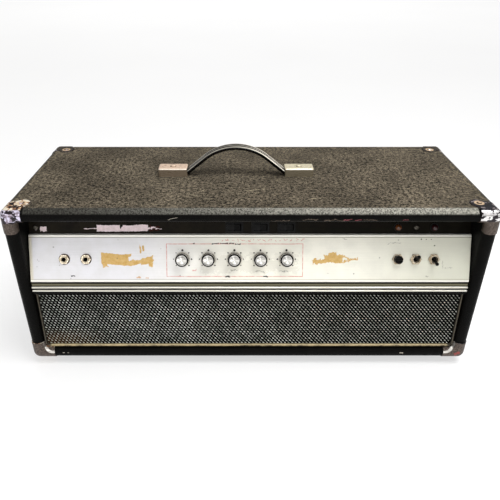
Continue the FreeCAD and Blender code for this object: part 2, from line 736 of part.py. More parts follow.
skirt_top = knob_lift + knob_skirt_height
knob_body = Part.makeCone(knob_skirt_radius, knob_skirt_radius - 0.7, knob_skirt_height, V(0, 0, knob_lift))
barrel = fluted_outline(knob_radius).extrude(V(0, 0, knob_height - skirt_top))
knob_body = knob_body.fuse(barrel.translated(V(0, 0, skirt_top)))
knob_body = knob_body.cut([rod(knob_recess, 5.0 - knob_lift, V(0, 0, knob_lift)),
                           rod(shaft_radius, shaft_tip),
                           rod(knob_cap_radius, knob_cap_thick, V(0, 0, knob_height - knob_cap_thick))])
knob_cap = rod(knob_cap_radius, knob_cap_thick, V(0, 0, knob_height - knob_cap_thick))
save("pot_bodies", *[on_panel(pot, x, control_line) for x in knob_places])
for number, x in enumerate(knob_places, 1):
    save("knob_%d" % number, on_panel(knob_body, x, control_line), on_panel(knob_cap, x, control_line))
    save("pot_shaft_%d" % number, on_panel(shaft, x, control_line))

# ------------------------------------------------------------------ jacks
jack_barrel = rod(bushing_radius, washer_sheet + nut_height + 1.0 - wall_back, V(0, 0, wall_back))
jack_front = washer_sheet + nut_height + 1.0
jack_back_end = jack_front - jack_length
jack_case = block(-jack_side / 2, jack_side / 2, -jack_side / 2, jack_side / 2, jack_back_end - 2, wall_back)
jack = jack_barrel.fuse(jack_case).cut(rod(jack_bore, jack_length, V(0, 0, jack_back_end)))
save("input_jacks", *[on_panel(jack, x, control_line) for x in jack_places])
washer = rod(washer_radius, washer_sheet).cut(rod(bushing_radius, washer_sheet))
jack_nut = nut.translated(V(0, 0, washer_sheet))
toggle_nut = hex_nut(toggle_nut_flats, nut_height, toggle_bushing)
panel_nuts = [on_panel(nut, x, control_line) for x in knob_places]
panel_nuts += [on_panel(jack_nut, x, control_line) for x in jack_places]
panel_nuts += [on_panel(toggle_nut, x, control_line) for x in switch_places]

# rear wall jacks use the same jack, its thread drawn for the thinner wall there
rear_line = chassis_floor + rear_line_rise
rear_jack_places = [inner_half - rear_jack_inset - rear_jack_pitch * i for i in range(2)]
rear_barrel = rod(bushing_radius, steel + washer_sheet + nut_height + 1.0, V(0, 0, -steel))
rear_end = washer_sheet + nut_height + 1.0 - jack_length
rear_case = block(-jack_side / 2, jack_side / 2, -jack_side / 2, jack_side / 2, rear_end - 2, -steel)
rear_jack = rear_barrel.fuse(rear_case).cut(rod(jack_bore, jack_length, V(0, 0, rear_end)))
rear_spots = [V(x, chassis_back, rear_line) for x in rear_jack_places]
save("speaker_jacks", *[aimed(rear_jack, spot, V(0, 1, 0)) for spot in rear_spots])
panel_nuts += [aimed(jack_nut, spot, V(0, 1, 0)) for spot in rear_spots]
washers = [on_panel(washer, x, control_line) for x in jack_places]
washers += [aimed(washer, spot, V(0, 1, 0)) for spot in rear_spots]
save("panel_nuts", *(panel_nuts + washers))

# ------------------------------------------------------------------ toggles
case_wide, case_tall, case_deep = toggle_case
toggle_box = block(-case_wide / 2, case_wide / 2, -case_tall / 2, case_tall / 2,
                   wall_back - case_deep, wall_back)
toggle_rise = nut_height + 2.6
toggle_body = toggle_box.fuse(rod(toggle_bushing, toggle_rise - wall_back, V(0, 0, wall_back)))
seat = V(0, 0, toggle_seat)
socket = Part.makeSphere(toggle_ball + running, seat)
mouth = Part.makeCone(toggle_ball + running, 4.7, toggle_rise - toggle_seat, seat)
cellar = Part.makeCone(toggle_ball - 0.4, 5.2, 8.0, seat - V(0, 0, 1.7), V(0, 0, -1))
toggle_body = toggle_body.cut([socket, mouth, cellar])
lever = Part.makeSphere(toggle_ball, seat)
lever = lever.fuse([Part.makeCone(1.5, 2.5, toggle_length - 2.4, seat), rod(1.3, 7.5, seat, V(0, 0, -1)),
                    Part.makeSphere(2.5, seat + V(0, 0, toggle_length - 2.4))])
save("toggle_bodies", *[on_panel(toggle_body, x, control_line) for x in switch_places[1:]])
for number, x, tilt in ((1, switch_places[1], -toggle_throw), (2, switch_places[2], toggle_throw)):
    tilted = lever.copy()
    tilted.rotate(seat, V(1, 0, 0), tilt)
    save("toggle_lever_%d" % number, on_panel(tilted, x, control_line))

# ------------------------------------------------------------------ fuse holder
fuse_face = nut_height + 0.4
fuse_body = rod(fuse_radius, fuse_depth, V(0, 0, wall_back - fuse_depth)).fuse(
    rod(toggle_bushing, fuse_face - wall_back, V(0, 0, wall_back)))
fuse_body = fuse_body.cut(rod(fuse_stem + running, 25.0, V(0, 0, fuse_face - 25.0)))
fuse_cap = rod(fuse_cap_radius, fuse_cap_height, V(0, 0, fuse_face + 0.3))
fuse_cap = fuse_cap.fuse(rod(fuse_stem, 20.3, V(0, 0, fuse_face - 20.0)))
fuse_cap = fuse_cap.cut(block(-6, 6, -0.6, 0.6, fuse_face + 4.6, fuse_face + 6))
save("fuse_holder", on_panel(fuse_body, switch_places[0], control_line))
save("fuse_cap", on_panel(fuse_cap, switch_places[0], control_line))

# ------------------------------------------------------------------ rockers and lamps
rocker_wide, rocker_tall = rocker_body_size()
window_w = rocker_width + 2 * rocker_clearance
window_h = rocker_height + 2 * rocker_clearance
bezel = block(-rocker_wide / 2 - 1.6, rocker_wide / 2 + 1.6, -rocker_tall / 2 - 0.9, rocker_tall / 2 + 0.9,
              strip_face, strip_face + 1.4)
casing = block(-rocker_wide / 2, rocker_wide / 2, -rocker_tall / 2, rocker_tall / 2,
               strip_face - rocker_depth, strip_face)
pivot_z = strip_face - 1.6
housing = bezel.fuse(casing).cut([
    block(-window_w / 2, window_w / 2, -window_h / 2, window_h / 2, strip_face - 11, strip_face + 2),
    rod(rocker_pin + running, window_h + 2.0, V(0, -window_h / 2 - 1.0, pivot_z), V(0, 1, 0))])
half_rocker = rocker_width / 2
rocker_side = [(-half_rocker, 4.8), (0, 3.2), (half_rocker, 4.8), (half_rocker, -1.0),
               (3.0, -4.5), (-3.0, -4.5), (-half_rocker, -1.0)]
rocker = prism([V(x, -rocker_height / 2, pivot_z + z) for x, z in rocker_side], V(0, rocker_height, 0))
rocker = rocker.fuse(rod(rocker_pin, window_h + 1.6, V(0, -window_h / 2 - 0.8, pivot_z), V(0, 1, 0)))
rocker.rotate(V(0, 0, pivot_z), V(0, 1, 0), -rocker_tilt)
save("rocker_housings", *[on_panel(housing, x, strip_line) for x in rocker_places])
for number, x in enumerate(rocker_places, 1):
    save("rocker_%d" % number, on_panel(rocker, x, strip_line))

lamp_places = (switch_places[0], switch_places[2])
lamp_body = rod(lamp_radius + 1.0, lamp_depth, V(0, 0, strip_face - lamp_depth))
lamp_bezel = lamp_body.fuse(rod(bezel_radius, 1.2, V(0, 0, strip_face)))
lamp_bezel = lamp_bezel.cut(rod(lamp_radius, 10.0, V(0, 0, strip_face - 6.0)))
lens = rod(lamp_radius, 7.6, V(0, 0, strip_face - 6.0))
lens = lens.fuse(Part.makeSphere(lamp_radius, V(0, 0, strip_face + 1.6)).common(
    block(-9, 9, -9, 9, strip_face + 1.6, strip_face + 9)))
save("lamp_bezels", *[on_panel(lamp_bezel, x, strip_line) for x in lamp_places])
save("amber_lamp", on_panel(lens, lamp_places[0], strip_line))
save("red_lamp", on_panel(lens, lamp_places[1], strip_line))

# ------------------------------------------------------------------ mains cord gland
gland_spot = V(-inner_half + gland_inset, chassis_back, rear_line)
gland = rod(gland_radius, gland_length, V(0, 0, -gland_depth)).fuse(rod(gland_radius + gland_lip, gland_lip))
gland = gland.cut(rod(gland_bore, gland_length, V(0, 0, -gland_depth)))
save("cord_gland", aimed(gland, gland_spot, V(0, 1, 0)))


# ------------------------------------------------------------------ valves and sockets
def hanging(radius, length, top=0.0):
    """Upright cylinder that hangs down from a height."""
    return rod(radius, length, V(0, 0, top - length))


def round_ended(radius, length, top=0.0):
    """Hanging cylinder with a half-round lower end."""
    return hanging(radius, length, top).fuse(Part.makeSphere(radius, V(0, 0, top - length)))


bulb = round_ended(power_bulb_radius, power_bulb_length, -power_base_height)
bulb = bulb.cut(block(-40, 40, -40, 40, -power_base_height, 0))
power_valve = [hanging(power_base_radius, power_base_height), bulb]
small_valve = round_ended(small_radius, small_length)

power_places = [V(power_first + power_pitch * i, valve_back, chassis_floor) for i in range(4)]
small_places = [V(small_first + small_pitch * i, front + small_inset, chassis_floor) for i in range(6)]
sockets = [hanging(power_socket_radius, socket_depth).translated(place) for place in power_places]
sockets += [hanging(small_socket_radius, socket_depth).translated(place) for place in small_places]
save("valve_sockets", *sockets)
below = V(0, 0, -socket_depth)
output_valves = [piece.translated(place + below) for place in power_places for piece in power_valve]
preamp_valves = [small_valve.translated(place + below) for place in small_places]
save("output_valves", *output_valves)
save("preamp_valves", *preamp_valves)


# ------------------------------------------------------------------ transformers, choke, capacitors
def transformer(x, y, wide, deep, tall, stack):
    """Core between two end covers, hanging under the chassis."""
    top = chassis_floor
    low = top - tall
    half_core = wide / 2
    half_bell = half_core - bell_step
    core = block(x - half_core, x + half_core, y - stack / 2, y + stack / 2, low, top)
    bell = block(x - half_bell, x + half_bell, y - deep / 2, y - stack / 2, low + bell_step, top - bell_step)
    rims = [e for e in bell.Edges if e.BoundBox.YMax < y - deep / 2 + 1e-6]
    bell = bell.makeFillet(bell_edge, rims)
    other = bell.mirror(V(x, y, 0), V(0, 1, 0))
    return [core, bell, other]


save("power_transformer", *transformer(inner_half + mains_place[0], mains_place[1], *mains_size))
save("output_transformer", *transformer(-inner_half + output_place[0], output_place[1], *output_size))
save("choke", *transformer(-inner_half + choke_place[0], choke_place[1], *choke_size))

can = hanging(can_radius, can_length)
low_rim = [e for e in can.Edges if e.BoundBox.ZMax < -can_length + 1e-6]
can = can.makeFillet(can_edge, low_rim)
can_rows = [valve_back + can_first + can_pitch * i for i in range(3)]
save("filter_capacitors", *[can.translated(V(can_x, y, chassis_floor)) for y in can_rows])

# ------------------------------------------------------------------ circuit board on its pillars
pillar_foot = chassis_floor + steel
card_low = pillar_foot + pillar_height
save("circuit_board", block(*card_reach, card_low, card_low + card_sheet))
save("board_pillars", *[rod(pillar_radius, pillar_height, V(x, y, pillar_foot))
                        for x in pillar_columns for y in pillar_rows])

tray = tray.cut(lower_holes(-far, far) + upper_holes(-far, far) + chassis_bolts)
through = V(0, -5, 0)
rear_holes = [rod(bushing_radius, 10, spot + through, V(0, 1, 0)) for spot in rear_spots]
rear_holes.append(rod(gland_radius, 10, gland_spot + through, V(0, 1, 0)))
save("chassis_tray", tray.cut(rear_holes))
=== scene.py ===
"""Finish of the guitar amplifier head: covering, panel, grille weave, knobs, strap and studio.
Metres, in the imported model's frame: X across the front, the front faces -Y, Z is up."""
import json
import math

import bmesh
import bpy
from mathutils import Matrix, Vector


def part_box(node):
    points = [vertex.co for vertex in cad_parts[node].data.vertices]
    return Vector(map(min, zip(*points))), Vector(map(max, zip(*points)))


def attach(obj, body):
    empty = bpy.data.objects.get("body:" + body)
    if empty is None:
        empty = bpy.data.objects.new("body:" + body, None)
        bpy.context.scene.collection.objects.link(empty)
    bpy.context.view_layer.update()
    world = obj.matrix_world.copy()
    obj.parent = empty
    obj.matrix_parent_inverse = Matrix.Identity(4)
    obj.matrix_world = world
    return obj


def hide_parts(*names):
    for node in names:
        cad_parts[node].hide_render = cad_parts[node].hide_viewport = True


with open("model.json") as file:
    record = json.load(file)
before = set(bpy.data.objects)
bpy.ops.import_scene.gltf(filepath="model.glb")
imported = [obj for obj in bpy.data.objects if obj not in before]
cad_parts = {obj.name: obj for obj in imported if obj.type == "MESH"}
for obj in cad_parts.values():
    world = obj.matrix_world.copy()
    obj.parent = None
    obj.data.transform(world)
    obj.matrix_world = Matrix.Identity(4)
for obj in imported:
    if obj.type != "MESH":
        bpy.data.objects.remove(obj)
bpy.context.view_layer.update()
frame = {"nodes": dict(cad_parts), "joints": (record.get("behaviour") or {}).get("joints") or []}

MM = 0.001
full_turn = 2 * math.pi
uv_turn = 12.0  # one turn of a knob on its UV map
strap_bead = 6.9  # raised beads of the strap, from its middle, in millimetres
scene = bpy.context.scene


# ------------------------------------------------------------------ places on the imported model
def joint(name):
    return next(j for j in frame["joints"] if j["name"] == name)


def spread(node, direction):
    """Lowest and highest reach of a node along a direction."""
    reach = [v.co.dot(direction) for v in frame["nodes"][node].data.vertices]
    return min(reach), max(reach)


across = Vector((1, 0, 0))
panel_out = Vector(joint("knob_turn_1")["axis"]).normalized()
panel_up = across.cross(-panel_out)
panel_foot = spread("control_panel", panel_up)[0]
rim_height = 0.7 * MM
panel_face = spread("control_panel", panel_out)[1] - rim_height
cloth_low, cloth_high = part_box("grille_cloth")
caps_low, caps_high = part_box("handle_caps")
strap_low, strap_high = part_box("handle_strap")
grille_lean = math.radians(4.0)
grille_out = Vector((0, -math.cos(grille_lean), math.sin(grille_lean)))
grille_up = Vector((0, math.sin(grille_lean), math.cos(grille_lean)))
grille_foot = spread("grille_cloth", grille_up)[0]
grille_top = spread("grille_cloth", grille_up)[1]
grille_face = spread("grille_cloth", grille_out)[1]


def on_panel(x, s, lift=0.0):
    """Point on the control panel: x across, s up its slope from its foot, lift off its face."""
    return across * x + panel_up * (panel_foot + s) + panel_out * (panel_face + lift)


def on_grille(x, s, lift=0.0):
    return across * x + grille_up * (grille_foot + s) + grille_out * (grille_face + lift)


def facing(right, up, out, origin):
    """Matrix that puts local X, Y, Z along right, up, out at origin."""
    turn = Matrix((right, up, out)).transposed().to_4x4()
    return Matrix.Translation(origin) @ turn


# ------------------------------------------------------------------ node tree helpers
def shade(red, green, blue):
    """Colour from 0..255 display values."""
    def straight(value):
        value /= 255
        return value / 12.92 if value <= 0.04045 else ((value + 0.055) / 1.055) ** 2.4
    return (straight(red), straight(green), straight(blue), 1.0)


class Nodes:
    """Adds nodes to a tree; a feed is another node's output or a plain value."""

    def __init__(self, tree):
        self.tree = tree

    def add(self, kind, feeds=None, **settings):
        node = self.tree.nodes.new(kind)
        for name, value in settings.items():
            setattr(node, name, value)
        for socket, value in (feeds or {}).items():
            self.feed(node.inputs[socket], value)
        return node

    def feed(self, socket, value):
        if isinstance(value, bpy.types.NodeSocket):
            self.tree.links.new(value, socket)
        else:
            socket.default_value = value

    def use(self, group, **feeds):
        """Shared effect placed in this material with its own values."""
        node = self.add("ShaderNodeGroup", None, node_tree=group)
        for socket, value in feeds.items():
            self.feed(node.inputs[socket], value)
        return node.outputs

    def mask(self, group, **feeds):
        return self.use(group, **feeds)["Mask"]

    def geo(self, kind, feeds=None, **settings):
        """First output of a new geometry node."""
        return self.add("GeometryNode" + kind, feeds, **settings).outputs[0]

    def surface(self, colour, rough, relief=None, metal=None):
        """Feeds this material's shader and hands back the material."""
        feeds = {"Base Color": colour, "Roughness": rough, "Normal": relief, "Metallic": metal}
        for socket, value in feeds.items():
            if value is not None:
                self.feed(self.shader[socket], value)
        return self.material

    def math(self, operation, a, b=0.0, c=0.0):
        return self.add("ShaderNodeMath", {0: a, 1: b, 2: c}, operation=operation).outputs[0]

    def plus(self, a, b):
        return self.math("ADD", a, b)

    def minus(self, a, b):
        return self.math("SUBTRACT", a, b)

    def times(self, a, b):
        return self.math("MULTIPLY", a, b)

    def scaled(self, a, scale, start):
        """a times scale, plus start."""
        return self.math("MULTIPLY_ADD", a, scale, start)

    def greater(self, a, b):
        return self.math("MAXIMUM", a, b)

    def size_of(self, a):
        return self.math("ABSOLUTE", a)

    def vector(self, operation, a, b=(0, 0, 0)):
        node = self.add("ShaderNodeVectorMath", {0: a}, operation=operation)
        self.feed(node.inputs["Scale" if operation == "SCALE" else 1], b)
        return node.outputs["Value" if operation in ("DOT_PRODUCT", "LENGTH") else "Vector"]

    def mix(self, share, a, b):
        return self.add("ShaderNodeMix", {0: share, 6: a, 7: b}, data_type="RGBA").outputs[2]

    def over(self, colour, mask, paint, share=None):
        """Paint laid over a colour through a mask, at full strength or a share of it."""
        return self.mix(mask if share is None else self.times(mask, share), colour, paint)

    def blend(self, share, a, b):
        return self.add("ShaderNodeMix", {0: share, 2: a, 3: b}, data_type="FLOAT").outputs[0]

    def ramp(self, value, low, high, start=0.0, end=1.0):
        feeds = {0: value, 1: low, 2: high, 3: start, 4: end}
        return self.add("ShaderNodeMapRange", feeds, interpolation_type="SMOOTHSTEP").outputs[0]

    def noise(self, place, size, detail=3.0, rough=0.5):
        """Soft noise about 0.5, with features about size across."""
        feeds = {"Vector": place, "Scale": 1.0 / size, "Detail": detail, "Roughness": rough}
        return self.add("ShaderNodeTexNoise", feeds).outputs[0]

    def wander(self, place, size, detail=2.0):
        """Noise vector about zero."""
        feeds = {"Vector": place, "Scale": 1.0 / size, "Detail": detail}
        cloud = self.add("ShaderNodeTexNoise", feeds).outputs[1]
        return self.vector("SUBTRACT", cloud, (0.5, 0.5, 0.5))

    def cells(self, place, size):
        return self.add("ShaderNodeTexVoronoi", {"Vector": place, "Scale": 1.0 / size})

    def parts(self, vector):
        return self.add("ShaderNodeSeparateXYZ", {0: vector}).outputs

    def joined(self, x, y, z=0.0):
        return self.add("ShaderNodeCombineXYZ", {0: x, 1: y, 2: z}).outputs[0]

    def place(self):
        """Object coordinates in millimetres."""
        raw = self.add("ShaderNodeTexCoord").outputs["Object"]
        return self.vector("SCALE", raw, 1 / MM)

    def upward(self):
        """How far the surface faces up, from -1 to 1."""
        return self.parts(self.add("ShaderNodeNewGeometry").outputs["Normal"])[2]

    def bump(self, height, distance, strength=1.0):
        feeds = {"Height": height, "Distance": distance, "Strength": strength}
        return self.add("ShaderNodeBump", feeds).outputs[0]


def effect(name, outputs, **inputs):
    """Shader node group with a place and named values: its tree, builder, place, inputs and outputs."""
    tree = bpy.data.node_groups.new(name, "ShaderNodeTree")
    for label, value in {"Place": (0, 0, 0), **inputs}.items():
        kind = "Float" if isinstance(value, float) else "Vector"
        socket = tree.interface.new_socket(label, in_out="INPUT", socket_type="NodeSocket" + kind)
        socket.default_value = value
    for label in outputs:
        tree.interface.new_socket(label, in_out="OUTPUT", socket_type="NodeSocketFloat")
    nodes = Nodes(tree)
    given = nodes.add("NodeGroupInput").outputs
    return tree, nodes, given["Place"], given, nodes.add("NodeGroupOutput").inputs


# ------------------------------------------------------------------ shared surface effects
def make_pebble_grain():
    """Pressed leather grain: rounded pebbles parted by narrow hollows."""
    tree, n, place, given, out = effect("pebble grain", ["Height", "Hollows"], Pebble=1.2)
    warp = n.vector("SCALE", n.wander(place, 2.5), 1.6)
    place = n.vector("ADD", place, warp)
    small = n.math("DIVIDE", 1.0, given["Pebble"])
    feeds = {"Vector": place, "Scale": small}
    edge = n.add("ShaderNodeTexVoronoi", feeds, feature="DISTANCE_TO_EDGE").outputs["Distance"]
    rise = n.ramp(edge, 0.0, 0.32)
    feeds = {"Vector": place, "Scale": n.times(small, 3.0), "Detail": 2.0}
    fine = n.add("ShaderNodeTexNoise", feeds).outputs[0]
    n.feed(out["Height"], n.scaled(fine, 0.35, n.times(rise, 0.65)))
    n.feed(out["Hollows"], n.minus(1.0, rise))
    return tree


def make_dust():
    """Dust and handling dirt that settles on faces that look up."""
    tree, n, place, given, out = effect("settled dust", ["Film", "Crumbs"], Amount=0.5)
    up = n.ramp(n.upward(), 0.88, 0.985)
    broad = n.ramp(n.noise(place, 70.0, 5.0, 0.65), 0.36, 0.66, 0.6, 1.0)
    fine = n.ramp(n.noise(place, 4.5, 6.0, 0.9), 0.42, 0.6, 0.0, 1.0)
    film = n.times(n.times(broad, fine), given["Amount"])
    n.feed(out["Film"], n.times(film, up))
    dot = n.cells(place, 5.0)
    lucky = n.math("GREATER_THAN", n.parts(dot.outputs["Color"])[0], 0.86)
    crumb = n.ramp(dot.outputs["Distance"], 0.16, 0.08)
    crumbs = n.times(crumb, lucky)
    n.feed(out["Crumbs"], n.times(crumbs, up))
    return tree


def make_torn_patch():
    """Ragged patch where a layer has torn away or stayed behind, in a flat place."""
    tree, n, place, given, out = effect("torn patch", ["Mask"], Centre=(0, 0, 0), Reach=(1, 1, 0),
                                        Slant=0.0, Ragged=1.0)
    coarse = n.vector("SCALE", n.wander(place, 11.0, 5.0), 9.0)
    fine = n.vector("SCALE", n.wander(place, 2.8, 4.0), 6.5)
    warp = n.vector("SCALE", n.vector("ADD", coarse, fine), given["Ragged"])
    moved = n.vector("SUBTRACT", n.vector("ADD", place, warp), given["Centre"])
    x, y, _ = n.parts(moved)
    reach_x, reach_y, _ = n.parts(given["Reach"])
    y = n.minus(y, n.times(x, given["Slant"]))
    over_x = n.minus(n.size_of(x), reach_x)
    over_y = n.minus(n.size_of(y), reach_y)
    n.feed(out["Mask"], n.ramp(n.greater(over_x, over_y), 0.2, -0.2))
    return tree


def make_scratches():
    """Fine scratches in two directions."""
    tree, n, place, given, out = effect("fine scratches", ["Mask"], Density=0.5)
    masks = []
    for angle in (0.35, -0.8):
        turn = n.add("ShaderNodeMapping", {0: place, 2: (0.3, 0.5, angle)}).outputs[0]
        long = n.vector("MULTIPLY", turn, (0.03, 1.1, 1.1))
        streak = n.noise(long, 1.0, 2.0)
        masks.append(n.ramp(streak, n.scaled(given["Density"], -0.12, 0.78), 0.82))
    n.feed(out["Mask"], n.greater(*masks))
    return tree


def make_tarnish():
    """Brown bloom and dark pits on old plating."""
    tree, n, place, given, out = effect("tarnish", ["Bloom", "Pits"], Amount=0.5)
    cloud = n.noise(place, 9.0, 5.0, 0.65)
    low = n.scaled(given["Amount"], -0.35, 0.72)
    n.feed(out["Bloom"], n.ramp(cloud, low, n.plus(low, 0.14)))
    speck = n.noise(place, 1.3, 4.0, 0.7)
    n.feed(out["Pits"], n.ramp(speck, n.scaled(given["Amount"], -0.12, 0.72), 0.74))
    return tree


def make_specks():
    """Scattered small marks."""
    tree, n, place, given, out = effect("specks", ["Mask"], Pitch=8.0, Size=0.1, Share=0.4)
    feeds = {"Vector": place, "Scale": n.math("DIVIDE", 1.0, given["Pitch"])}
    dot = n.add("ShaderNodeTexVoronoi", feeds)
    chance, weight, _ = n.parts(dot.outputs["Color"])
    kept = n.math("LESS_THAN", chance, given["Share"])
    size = n.times(given["Size"], n.plus(weight, 0.35))
    spot = n.ramp(n.minus(dot.outputs["Distance"], size), 0.02, -0.02)
    n.feed(out["Mask"], n.times(spot, kept))
    return tree


pebble_grain = make_pebble_grain()
settled_dust = make_dust()
torn_patch = make_torn_patch()
fine_scratches = make_scratches()
tarnish = make_tarnish()
specks = make_specks()


# ------------------------------------------------------------------ materials
def finish_of(name, **plain):
    """New material's node builder and the place in millimetres, with constants set on its shader."""
    material = bpy.data.materials.new(name)
    material.use_nodes = True
    n = Nodes(material.node_tree)
    n.material = material
    n.shader = material.node_tree.nodes["Principled BSDF"].inputs
    for socket, value in plain.items():
        n.shader[socket.replace("_", " ")].default_value = value
    return n, n.place()


def patch_of(n, flat, centre, reach, slant=0.0, ragged=1.0):
    return n.mask(torn_patch, Place=flat, Centre=(*centre, 0), Reach=(*reach, 0), Slant=slant,
                  Ragged=ragged)


def most(n, masks):
    whole = masks[0]
    for mask in masks[1:]:
        whole = n.greater(whole, mask)
    return whole


def patches(n, flat, rows):
    """Several torn patches as one mask: rows are (centre, reach, slant, raggedness)."""
    return most(n, [patch_of(n, flat, *row) for row in rows])


def panel_flat(n, place):
    """Place on the control panel: x across, then the distance up its slope, in millimetres."""
    up = n.minus(n.vector("DOT_PRODUCT", place, panel_up), panel_foot / MM)
    return n.joined(n.parts(place)[0], up)


def front_flat(n, place):
    """Place seen from the front: x across, z up, in millimetres."""
    x, _, z = n.parts(place)
    return n.joined(x, z)


def make_black_vinyl():
    n, place = finish_of("black vinyl", Specular_IOR_Level=0.04)
    x, y, z = n.parts(place)
    grain = n.use(pebble_grain, Place=place, Pebble=1.25)
    dust = n.use(settled_dust, Place=place, Amount=0.9)
    worn = n.ramp(n.noise(place, 26.0, 5.0, 0.7), 0.56, 0.8)
    colour = n.mix(n.ramp(n.noise(place, 40.0), 0.3, 0.7), shade(9, 9, 8), shade(14, 13, 12))
    colour = n.over(colour, worn, shade(74, 70, 62), 0.04)
    # the pale dust film on the top is also made to stand for its sheen: dust and painted sheen
    film = n.times(dust["Film"], n.scaled(grain["Hollows"], 0.5, 0.7))
    film = n.times(film, n.ramp(z, 200.0, 240.0))
    film = n.times(film, n.ramp(y, -121.5, -119.5))
    colour = n.over(colour, film, shade(140, 129, 110))
    top_flat = n.joined(x, y)
    scuffs = patches(n, top_flat, [
        ((-78, -80), (10, 0.8), -0.5, 1.0), ((-70, -66), (8, 0.7), 0.8, 1.2),
        ((-58, -92), (7, 0.7), 0.1, 1.0), ((10, -62), (14, 0.6), 0.3, 1.3),
        ((-190, 30), (16, 0.5), 0.4, 1.4), ((92, -90), (6, 1.0), 0.2, 1.2),
        ((214, 60), (5, 0.8), -0.6, 1.0)])
    scuffs = n.times(scuffs, n.ramp(n.upward(), 0.6, 0.9))
    colour = n.over(colour, scuffs, shade(190, 178, 150), 0.45)
    crumbs = n.times(dust["Crumbs"], 0.6)
    colour = n.over(colour, crumbs, shade(170, 160, 140))
    flat = front_flat(n, place)
    # the rounded front edge's upper half is painted pale grey: partly rubbed wear, partly a painted
    # highlight that grows towards the right
    edge_front = n.times(n.ramp(y, -119.8, -121.5), n.ramp(n.upward(), 0.3, 0.62))
    rub_and_highlight = n.times(edge_front, n.ramp(z, 240.0, 250.0))
    rub_and_highlight = n.times(rub_and_highlight, n.ramp(x, -300.0, 230.0, 0.12, 0.95))
    peaks = n.ramp(n.noise(place, 2.4, 5.0, 0.85), 0.4, 0.6, 0.15, 1.0)
    colour = n.over(colour, n.times(rub_and_highlight, peaks), shade(182, 180, 168))
    # painted contact shadow beside the corner plates
    plate_edge = 304.4
    corner_shadow = n.ramp(n.size_of(n.minus(n.size_of(x), plate_edge)), 2.0, 1.2)
    corner_shadow = n.times(corner_shadow, n.times(n.ramp(y, -119.0, -123.0), n.ramp(z, 230.0, 240.0)))
    colour = n.over(colour, corner_shadow, shade(12, 11, 10))
    nose = n.ramp(y, -128.0, -129.5)
    torn = patches(n, flat, [
        ((129, 253.6), (5.5, 0.7), 0.03, 0.9), ((143, 252.4), (4.5, 0.7), -0.04, 0.9),
        ((207, 252.8), (4, 0.5), 0.0, 0.7)])
    pale = patches(n, flat, [
        ((80, 253.0), (11, 0.5), 0.02, 1.0), ((112, 252.4), (14, 0.5), -0.03, 1.0),
        ((40, 251.5), (12, 0.4), 0.02, 1.0), ((160, 252.6), (10, 0.4), 0.0, 1.0)])
    pale = n.times(n.times(pale, nose), 0.7)
    colour = n.over(colour, pale, shade(126, 112, 100))
    chips = patches(n, flat, [
        ((-288, 22.4), (1.6, 0.6), 0, 0.4), ((-280, 22.0), (1.4, 0.5), 0, 0.4),
        ((236, 22.2), (2.2, 0.7), 0, 0.5), ((-104, 255.0), (6, 0.25), 0.3, 0.4)])
    torn = n.times(torn, nose)
    chips = n.times(chips, nose)
    colour = n.over(colour, torn, shade(150, 84, 92))
    colour = n.over(colour, chips, shade(196, 188, 174))
    matt = n.scaled(dust["Film"], 0.3, 0.36)
    height = n.minus(grain["Height"], n.times(torn, 1.2))
    return n.surface(colour, n.plus(matt, n.times(worn, 0.06)), n.bump(height, 0.00042, 0.9))


